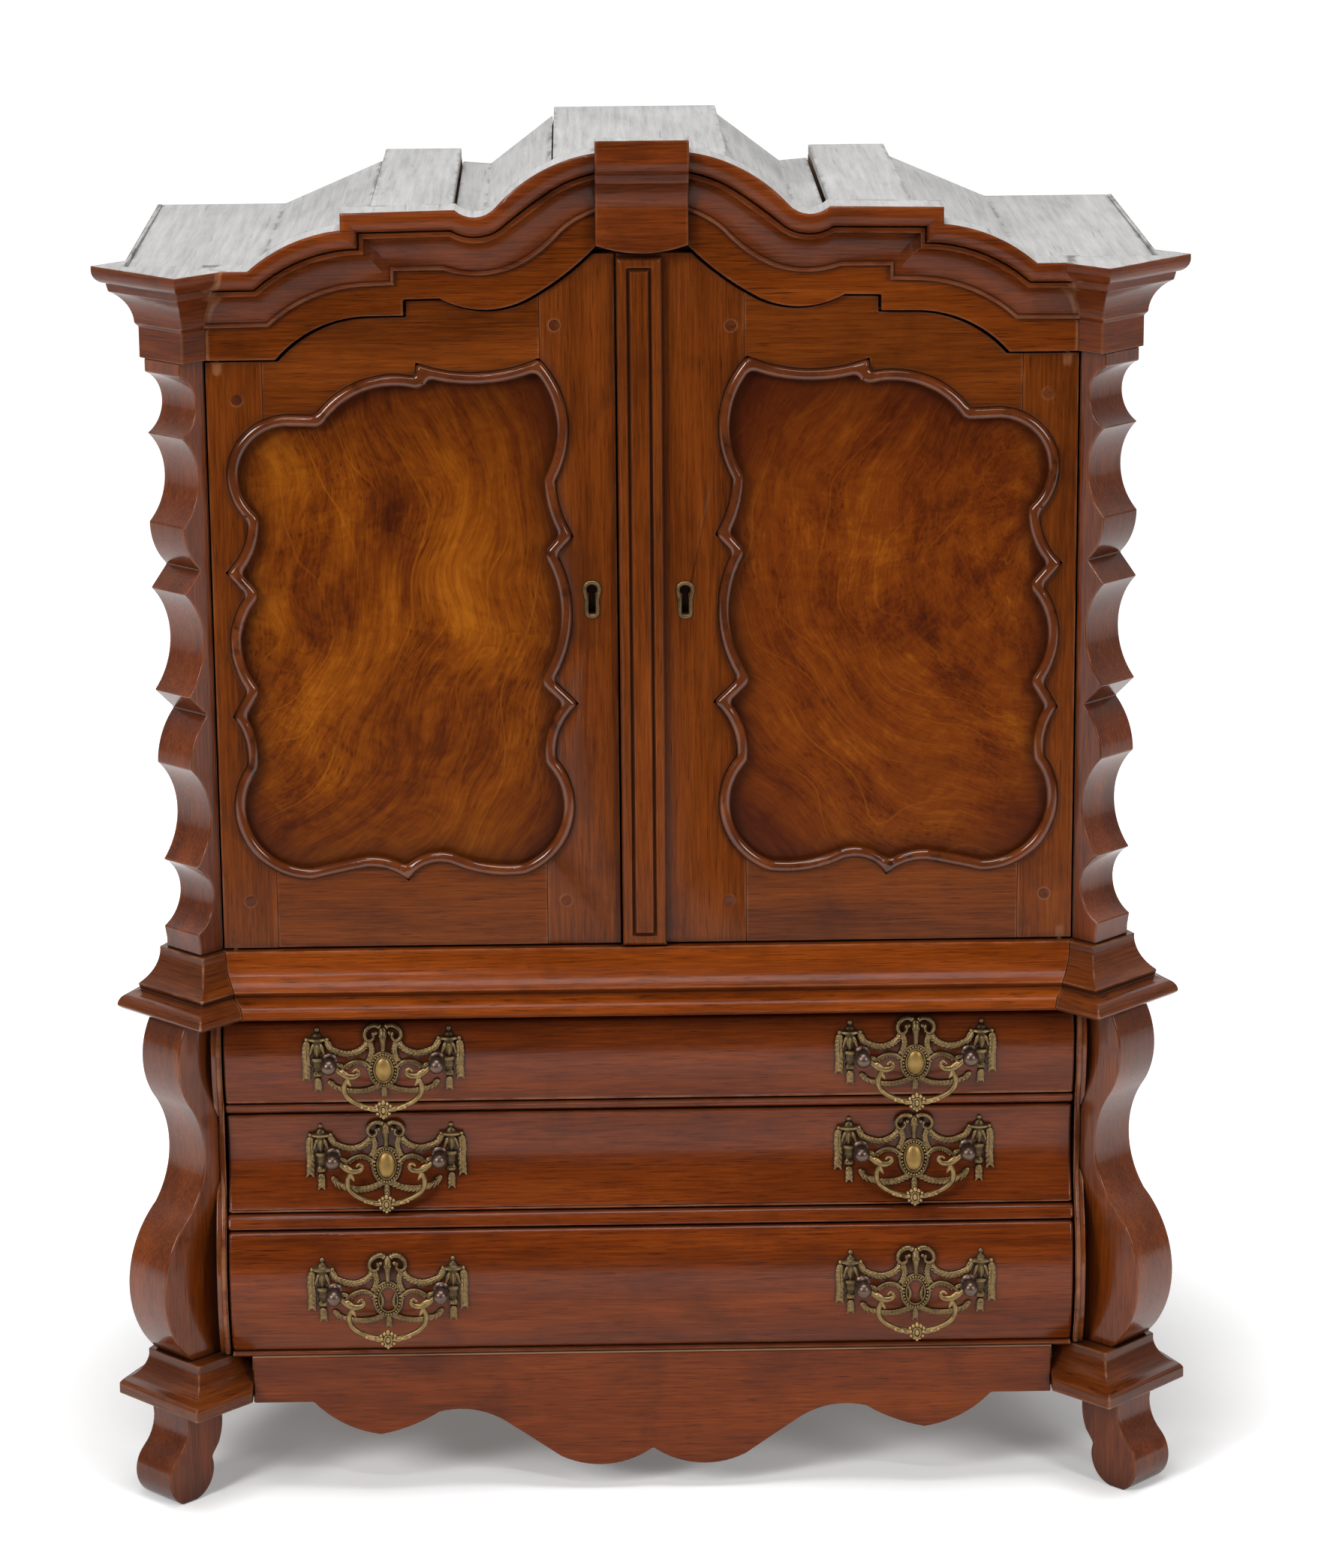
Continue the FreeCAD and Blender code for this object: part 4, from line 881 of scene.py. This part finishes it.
def keyhole(side, across, level):
    """Stiles with a keyhole cut in one of them, and the brass rim round it."""
    stiles = eased(f"{side}_door_stiles", 0.5, door_upright)
    cutter, slot = keyhole_cutter(across, level)
    finish_with(stiles, "BOOLEAN", object=cutter, operation="DIFFERENCE", solver="EXACT")
    smooth(stiles)
    thrown_away(cutter)
    thrown_away(slot)
    outline = RIM_POINTS + [(-x, z) for x, z in reversed(RIM_POINTS[1:-1])]
    rim = tube([(x, z, 0) for x, z in outline], [RIM_RADIUS] * len(outline), closed=True)
    rim.scale.y = RIM_FLATNESS
    rim.location = (across * MM, (DOOR_FACE - RIM_PROUD) * MM, level * MM)
    settle(rim)
    rim.name = f"{side}_keyhole_rim"
    smooth(rim, 60)
    dress(rim, plate_brass, f"{side}_door", "antique_brass", f"{side}_door_escutcheon")


for side, (across, level) in KEYHOLES.items():
    keyhole(side, across, level)

STRIP_LEFT = -15.5
STRIP_RIGHT = 11.5
STRIP_FOOT = 354.2
STRIP_TOP = 779.2
STRIP_THICKNESS = 7
STRIP_ROUND = 3
REED_STEPS = [(2.8, 0), (1.2, -2.4), (1.4, 2.6)]
BROAD_FACE_AREA = 0.002


def cover_strip():
    """Astragal: rounded strip with a raised reed between two sunk lines."""
    strip = slab(
        (STRIP_LEFT, DOOR_FACE - STRIP_THICKNESS, STRIP_FOOT), (STRIP_RIGHT, DOOR_FACE, STRIP_TOP))
    pick_faces(strip, lambda face: face.normal.y < -0.9)
    bpy.ops.mesh.bevel(offset=STRIP_ROUND * MM, segments=4, affect="EDGES")
    done()
    pick_faces(strip, lambda face: face.normal.y < -0.99 and face.area > BROAD_FACE_AREA)
    for inset, rise in REED_STEPS:
        bpy.ops.mesh.inset(thickness=inset * MM, depth=rise * MM)
    done()
    strip.name = "astragal_strip"
    round_edges(strip, 0.6, 3, 30)
    dress(strip, door_upright, "right_door", "mahogany", "right_door_astragal")


cover_strip()

PEG_RADIUS = 3.4
PEG_LENGTH = 2.4
PEG_SINK = 0.95
PEG_TURN = 0.3
PEG_PLACES = [(-243.5, 384.0), (-50.0, 382.0), (-242.5, 695.5), (-52.5, 738.5)]
RIGHT_PEG_DROP = 1.5


def door_pegs(side, places):
    """Pegs that pin the door joints, each turned its own way and a hair proud of the face."""
    pegs = []
    for across, level in places:
        deselect()
        bpy.ops.mesh.primitive_cylinder_add(
            vertices=20, radius=PEG_RADIUS * MM, depth=PEG_LENGTH * MM,
            rotation=(math.pi / 2, PEG_TURN * across, 0),
            location=(across * MM, (DOOR_FACE + PEG_SINK) * MM, level * MM))
        pegs.append(bpy.context.active_object)
    whole = joined(pegs, f"{side}_door_pegs")
    round_edges(whole, 0.3, 2)
    dress(whole, peg_wood, f"{side}_door", "mahogany")


door_pegs("left", PEG_PLACES)
door_pegs("right", [(-across, level - RIGHT_PEG_DROP) for across, level in PEG_PLACES])


# Beads round the drawers
SIDE_BEAD_ACROSS = 265.6
SIDE_BEAD_RADIUS = 1.75
SIDE_BEAD_SINK = 0.2
SIDE_BEAD_LEVELS = range(95, 315, 6)
FOOT_BEAD_PLACES = (-262, -130, 0, 130, 262)
FOOT_BEAD_LEVEL = 94.2
FOOT_BEAD_RADIUS = 2.0
FOOT_BEAD_PROUD = 0.6


def chest_beads():
    """Bead up each side of the drawers and one along the foot of the lowest."""
    beads = []
    for sign in SIDES.values():
        points = [
            (sign * SIDE_BEAD_ACROSS, z, -drawer_face(z) - SIDE_BEAD_SINK) for z in SIDE_BEAD_LEVELS]
        beads.append(tube(points, [SIDE_BEAD_RADIUS] * len(points), sides=2))
    out = FOOT_BEAD_PROUD - drawer_face(FRONT_FOOT + 1)
    foot = [(x, FOOT_BEAD_LEVEL, out) for x in FOOT_BEAD_PLACES]
    beads.append(tube(foot, [FOOT_BEAD_RADIUS] * len(foot), sides=2))
    whole = smooth(joined(beads, "chest_front_beads"), 60)
    dress(whole, drawer_wood, "carcass", "mahogany")


chest_beads()

# Handles
LEAF = leaf_pattern()
HANDLE_LEVELS = {"low": 140.02, "middle": 220.31, "high": 286.04}
HANDLE_ACROSS = 164.0
PLATE_DROP = 6.4
BAIL_STAND = 13.0
POST_REACH = 33
URN_ACROSS = -40.5
URN_PROFILE = [
    (0, 27.4), (1.2, 26.9), (1.5, 25.6), (0.8, 24.5), (2.1, 23.7), (3.0, 22.5), (3.3, 21.7), (6.3, 20.9),
    (6.5, 19.7), (3.5, 19.0), (3.1, 17.4), (3.2, 15.0), (2.5, 12.0), (1.4, 9.9), (1.3, 9.1), (3.6, 8.4),
    (3.7, 6.7), (3.0, 6.2), (3.1, 2.5), (2.3, 2.0), (2.3, -0.3), (2.9, -0.8), (2.9, -3.2), (1.2, -4.0),
    (0, -4.5),
]


def urn():
    """Half-relief vase with a finial, leaves on its body and a plinth."""
    vase = spun(URN_PROFILE, 16)
    vase.scale.y = 0.6
    vase.location = (URN_ACROSS * MM, -0.9 * MM, 0)
    settle(vase)
    leaves = [leaf(URN_ACROSS + x, 17.8, 2.3, 180 - 9 * x, 7.6, 1.9) for x in (-2.1, 0, 2.1)]
    knots = [ball(x, 20.3, 1.6, 1.35) for x in (-47.0, -34.2)]
    studs = [ball(URN_ACROSS + x, -2.0, 2.5, 0.8) for x in (-1.3, 0, 1.3)]
    return [vase, *leaves, *knots, *studs]


HORN_PATH = [
    (-1.6, 27.4), (-4.2, 28.6), (-7.6, 28.0), (-10.4, 25.6), (-11.2, 22.4), (-9.6, 19.8), (-6.9, 19.8),
    (-5.5, 22.0), (-6.2, 24.4),
]


def ram_horn():
    """Ringed horn that curls outwards and in again."""
    spots = flowing(HORN_PATH, 0.8)
    last = len(spots) - 1
    points = [(x, z, 2.0 + 1.3 * index / last) for index, (x, z, _) in enumerate(spots)]
    radii = [(2.0 - 1.2 * index / last) * (1.0 if index % 2 else 0.82) for index in range(len(spots))]
    return tube(points, radii, kind="POLY", sides=2)


# Width, spacing, height of the relief and path of each festoon
FESTOONS = [
    (5.0, 2.7, 1.1, [(-46.9, 19.2), (-47.3, 12.0), (-47.1, 5.0), (-47.4, -6.0)]),
    (4.4, 2.5, 1.1, [(-40.5, -4.5), (-40.4, -10.0), (-40.6, -14.6)]),
    (4.0, 2.1, 1.3, [
        (-35.2, 19.6), (-31.8, 14.8), (-25.4, 11.8), (-19.5, 11.5), (-13.4, 14.0), (-8.6, 19.4),
    ]),
    (3.6, 1.9, 1.4, [(-8.2, 18.8), (-7.2, 14.5), (-7.6, 10.4), (-9.6, 5.6)]),
    (3.4, 2.1, 1.0, [(-34.2, -6.6), (-29.6, -11.2), (-20.5, -14.0), (-11.6, -13.8), (-3.0, -10.8)]),
]
PEARL_GAP = 1.75
ARM_PATH = [(-8.0, 2.0), (-10.6, 5.4), (-15.5, 6.6), (-20.5, 5.4), (-24.6, 2.2), (-28.2, -0.6)]


def plate_half():
    """Left half of the casting: urn, festoons, horn, scroll arm."""
    parts = urn()
    for width, spacing, out, points in FESTOONS:
        parts += leaf_rope(points, width, spacing, out)
    parts.append(ram_horn())
    parts.append(leaf(-3.0, 24.4, 2.6, -118, 4.4, 2.0))
    arm = [(x, z, 1.3) for x, z in ARM_PATH]
    parts.append(tube(arm, [1.1, 1.25, 1.3, 1.3, 1.2, 1.0], sides=2))
    for x, z, heading in flowing(ARM_PATH[:-1], PEARL_GAP):
        inward = math.radians(heading - 90)
        parts.append(ball(x + PEARL_GAP * math.sin(inward), z + PEARL_GAP * math.cos(inward), 1.2, 0.85))
    parts.append(leaf(-24.5, 2.6, 2.0, -60, 5.0, 2.4))
    half = joined([parts[-1], *parts[:-1]], "plate_half")
    return finish_with(half, "MIRROR", use_mirror_merge=False)


def ellipse(wide, tall, out, count):
    turns = [math.tau * step / count for step in range(count)]
    return [(wide * math.sin(turn), tall * math.cos(turn), out) for turn in turns]


RAM_FACE = [
    (0, 28.0, 1.6), (0, 26.0, 2.6), (0, 22.5, 3.1), (0, 18.5, 3.0), (0, 15.2, 2.8), (0, 13.2, 2.6),
    (0, 12.2, 2),
]


def plate_middle():
    """Ram's face, oval bed with its pearls, drop below."""
    parts = [tube(RAM_FACE, [1.2, 2.7, 2.7, 2.0, 1.5, 1.8, 0.8])]
    parts += [ball(sign * 1.75, 22.6, 4.7, 0.62) for sign in (-1, 1)]
    parts += [leaf(sign * 0.7, 27.5, 4.2, sign * 168, 5.0, 1.3) for sign in (-1, 1)]
    parts.append(tube(ellipse(8.9, 11.7, 0.9, 20), [0.9] * 20, closed=True, sides=2))
    parts.append(tube(ellipse(6.0, 8.9, 0.9, 20), [0.75] * 20, closed=True, sides=2))
    parts += [ball(x, z, out, 0.92) for x, z, out in ellipse(7.5, 10.3, 1.4, 28)]
    parts += leaf_rope([(0, -11.6), (0.1, -15.5), (0, -19.4)], 3.0, 2.0, 1.1)
    return joined(parts, "plate_middle")


def casting(name, filling):
    half = plate_half()
    whole = joined([half, plate_middle(), *filling], name)
    return smooth(whole, 55)


LIP_PATH = [(4.9, 4.4, 0.8), (3.6, 1.6, 0.9), (3.0, -1.2, 0.9), (3.7, -4.2, 0.9), (4.9, -6.4, 0.8)]
LIP_RADII = [0.5, 1.1, 1.3, 1.0, 0.5]


def lock_lips():
    """Crescents that narrow the oval to a keyhole."""
    lips = []
    for sign in SIDES.values():
        lips.append(tube([(sign * x, z, out) for x, z, out in LIP_PATH], LIP_RADII, sides=2))
    return lips


KNOB_PROFILE = [
    (4.7, -2.0), (4.7, 0.9), (3.5, 1.7), (2.5, 3.0), (2.3, 6.4), (3.0, 8.2), (4.4, 9.9), (5.15, 12.2),
    (5.15, 13.8), (4.5, 16.0), (3.3, 17.4), (1.8, 18.2), (0, 18.5),
]


def knob():
    """Turned post with a round head, lying along the depth."""
    post = spun(KNOB_PROFILE, 22)
    post.rotation_euler = (math.pi / 2, 0, 0)
    return smooth(settle(post), 50)


BAIL_PATH = [
    (-20.6, -6.4), (-23.2, -9.2), (-24.3, -13.6), (-23.2, -18.4), (-19.4, -22.4), (-14.4, -25.0),
    (-8.8, -26.8), (-4.0, -27.6), (0.3, -28.0),
]
SCROLL_PATH = [
    (-30.0, 0.0), (-27.6, -2.0), (-24.6, -4.9), (-20.4, -6.6), (-16.4, -6.2), (-14.2, -4.0),
    (-14.9, -1.7), (-17.2, -1.5), (-18.2, -3.1),
]
BAIL_LEAVES = [
    (-22.6, -7.4, 0.8, 150, 6.0, 2.6), (-26.5, -2.2, 1.2, 118, 8.5, 3.0), (-8.4, -27.0, 1.2, -78, 6.4, 2.6),
]
BAIL_KNOTS = [
    (-2.3, -23.9, 1.1, 1.45), (-4.3, -25.3, 1.1, 1.3), (-3.5, -30.1, 1.1, 1.3), (-1.6, -31.6, 1.1, 1.15),
    (-9.0, -26.8, 1.3, 1.35), (-13.2, -25.8, 1.2, 1.25),
]
SHOULDER_PATH = [(-3.2, -27.2), (-5.8, -28.2), (-8.2, -27.4), (-10.2, -25.8), (-12.8, -25.4)]


def bail_casting():
    """Bow with scrolled leaf ends and a shell at its foot, hung from the middle of its posts."""
    rod = tube([(x, z, 0) for x, z in BAIL_PATH], [1.7, 1.75, 1.75, 1.75, 1.7, 1.6, 1.6, 1.5, 1.4])
    scroll = tube([(x, z, 0.2) for x, z in SCROLL_PATH], [1.3, 1.7, 2.1, 2.2, 1.9, 1.5, 1.2, 1.0, 0.8])
    leaves = [leaf(*row) for row in BAIL_LEAVES]
    knots = [ball(*row) for row in BAIL_KNOTS]
    shoulder = tube([(x, z, 1.0) for x, z in SHOULDER_PATH], [1.5, 1.4, 1.2, 1.0, 0.6], sides=2)
    parts = [rod, scroll, shoulder, *leaves, *knots]
    half = finish_with(joined(parts, "bail_half"), "MIRROR", use_mirror_merge=False)
    crest = [ball(0, -22.9, 1.3, 1.6, 1.2), ball(0, -32.3, 1.2, 1.25, 1.3)]
    shield = ball(0, -27.7, 0.5, 4.3, 0.98, 0.42, 14, 8)
    oval = [(x, z - 27.9, out) for x, z, out in ellipse(2.3, 3.2, 2.0, 14)]
    ring = tube(oval, [0.6] * len(oval), closed=True, sides=2)
    crown = [shield, ring, *crest, ball(0, -27.9, 1.9, 1.4, 1.6, 0.8)]
    return smooth(joined([half, *crown], "bail_casting"), 55)


oval_plate = casting("oval_plate", [])
lock_plate = casting("lock_plate", lock_lips())
oval_boss = smooth(settle(ball(0, 0, 0.6, 5.5, 1.52, 0.5, 24, 14)), 60)
knob_head = knob()
bail_model = bail_casting()


def drawer_handles(drawer):
    """Plates, posts, bosses and bails of one drawer, laid on its curved front."""
    body = f"{drawer}_drawer"
    level = HANDLE_LEVELS[drawer]
    face = drawer_face(level)
    locked = drawer == "low"
    plates, bosses, knobs = [], [], []
    for side, sign in SIDES.items():
        across = sign * HANDLE_ACROSS
        pattern = lock_plate if locked else oval_plate
        plates.append(bent_to_front(copy_of(pattern, "plate"), across, level - PLATE_DROP))
        if not locked:
            bosses.append(bent_to_front(copy_of(oval_boss, "boss"), across, level - PLATE_DROP))
        for end in (-POST_REACH, POST_REACH):
            post = copy_of(knob_head, "knob")
            post.location = ((across + end) * MM, face * MM, level * MM)
            knobs.append(settle(post))
        bow = copy_of(bail_model, f"{drawer}_{side}_bail_bow")
        bow.location = (across * MM, (face - BAIL_STAND) * MM, level * MM)
        settle(bow)
        dress(bow, bail_brass, f"bail_{drawer}_{side}", "antique_brass", f"{drawer}_bail_{side}")
    plate_pair = joined(plates, f"{drawer}_handle_plates")
    dress(plate_pair, plate_brass, body, "antique_brass", f"{drawer}_drawer_handles")
    dress(joined(knobs, f"{drawer}_handle_knobs"), knob_bronze, body, "antique_brass")
    if bosses:
        dress(joined(bosses, f"{drawer}_handle_bosses"), boss_brass, body, "antique_brass")


for drawer in DRAWERS:
    drawer_handles(drawer)
for pattern in (oval_plate, lock_plate, oval_boss, knob_head, bail_model, LEAF):
    thrown_away(pattern)

# Solids that keep their own shape
for node, material in (
    ("left_door_panel", left_flame), ("right_door_panel", right_flame),
    ("case_back", inner_upright), ("chest_back", inner_upright), ("case_shelf", inner_level),
    ("case_floor", inner_level), ("chest_floor", inner_level), ("chest_top", inner_level),
    ("drawer_runners", inner_level), ("low_drawer_box", inner_level), ("middle_drawer_box", inner_level),
    ("high_drawer_box", inner_level), ("pivot_pins", bail_brass),
):
    solid = frame["nodes"][node]
    solid.data.materials.clear()
    solid.data.materials.append(material)


# Studio
PAPER_FRONT = 1.45
PAPER_SIZE = 80
DIFFUSE_LEVEL = 0.2
# Range and levels of the floor's glow by distance, kept low near the object as a painted shadow, and of the
# reflected studio by direction
FLOOR_GLOW_AND_SHADOW = (0.27, 0.6, 0.14, 0.85)
MIRRORED_STUDIO = (-0.2, 0.6, 0.1, 1.0)
# Name, place, target, size and power of each lamp
LAMPS = [
    ("key_softbox", (-2.0, -2.3, 1.95), (0, 0, 0.45), (0.8, 1.1), 66),
    ("top_softbox", (0.0, -0.5, 2.9), (0, 0, 0.4), (1.5, 0.9), 50),
    ("fill_softbox", (2.1, -2.4, 1.6), (0, 0, 0.4), (0.8, 1.1), 42),
    ("glint_strip", (-0.5, -1.7, 2.3), (0, -0.1, 0.4), (0.6, 0.03), 8),
]
CAMERA_PLACE = (-0.03888, -2.92395, 1.21297)
CAMERA_TURNS = (0.980, 15.053, -0.4877)
LENS = 109.79
SENSOR_WIDTH = 36


def studio_floor():
    """White paper floor that ends in front of the object, where the dark of the studio begins."""
    deselect()
    bpy.ops.mesh.primitive_plane_add(size=PAPER_SIZE, location=(0, PAPER_SIZE / 2 - PAPER_FRONT, 0))
    floor = settle(bpy.context.active_object)
    floor.name = "studio_floor"
    make = finish_nodes("white_floor")
    make.surface(Base_Color=(0.82, 0.82, 0.82), Roughness=0.8, Specular_IOR_Level=0.1)
    path = make.add("LightPath")
    seen = make.math("MAXIMUM", path.outputs["Is Camera Ray"], path.outputs["Is Glossy Ray"])
    seen = make.math("MAXIMUM", seen, path.outputs["Is Transmission Ray"])
    far = make.add("VectorMath", {"operation": "LENGTH"}, Vector=make.place((1, 1, 1))).outputs["Value"]
    # Glow low near the object and full further out: a painted shadow round the object on the white floor
    glow_and_painted_shadow = make.ranged(far, *FLOOR_GLOW_AND_SHADOW, interpolation_type="SMOOTHSTEP")
    make.surface(Emission_Color=(1, 1, 1), Emission_Strength=make.times(seen, glow_and_painted_shadow))
    floor.data.materials.append(make.owner)


def lamp(name, place, target, size, power):
    """White softbox that points at a target."""
    light = bpy.data.lights.new(name, "AREA")
    light.shape = "RECTANGLE"
    light.size, light.size_y = size
    light.energy = power
    holder = bpy.data.objects.new(name, light)
    bpy.context.scene.collection.objects.link(holder)
    holder.location = place
    holder.rotation_euler = (Vector(target) - Vector(place)).to_track_quat("-Z", "Y").to_euler()


def studio_light():
    """White all round for the camera; reflections see it behind the object and a dark studio in front."""
    world = bpy.data.worlds.new("studio")
    bpy.context.scene.world = world
    make = Nodes(world, "Background")
    path = make.add("LightPath")
    towards = make.add("SeparateXYZ", Vector=make.add("TexCoord").outputs["Generated"])
    reflected = make.ranged(towards.outputs["Y"], *MIRRORED_STUDIO)
    strength = DIFFUSE_LEVEL
    for ray, level in {"Glossy": reflected, "Transmission": 1.0, "Camera": 1.0}.items():
        choice = make.add("Mix")
        make.put(choice.inputs[0], path.outputs[f"Is {ray} Ray"])
        make.put(choice.inputs[2], strength)
        make.put(choice.inputs[3], level)
        strength = choice.outputs[0]
    make.surface(Color=(1, 1, 1), Strength=strength)
    for row in LAMPS:
        lamp(*row)


def photo_camera():
    """Camera at the photograph's place, turned by its yaw, pitch and roll."""
    yaw, pitch, roll = (math.radians(turn) for turn in CAMERA_TURNS)
    level = math.cos(pitch)
    forward = Vector((math.sin(yaw) * level, math.cos(yaw) * level, -math.sin(pitch)))
    right = Vector((math.cos(yaw), -math.sin(yaw), 0))
    up = right.cross(forward)
    side = right * math.cos(roll) + up * math.sin(roll)
    above = up * math.cos(roll) - right * math.sin(roll)
    data = bpy.data.cameras.new("photo_camera")
    data.lens = LENS
    data.sensor_width = SENSOR_WIDTH
    holder = bpy.data.objects.new("photo_camera", data)
    bpy.context.scene.collection.objects.link(holder)
    turn = Matrix((side, above, -forward)).transposed().to_4x4()
    holder.matrix_world = Matrix.Translation(CAMERA_PLACE) @ turn
    bpy.context.scene.camera = holder


studio_floor()
studio_light()
photo_camera()
bpy.context.scene.view_settings.view_transform = "Standard"
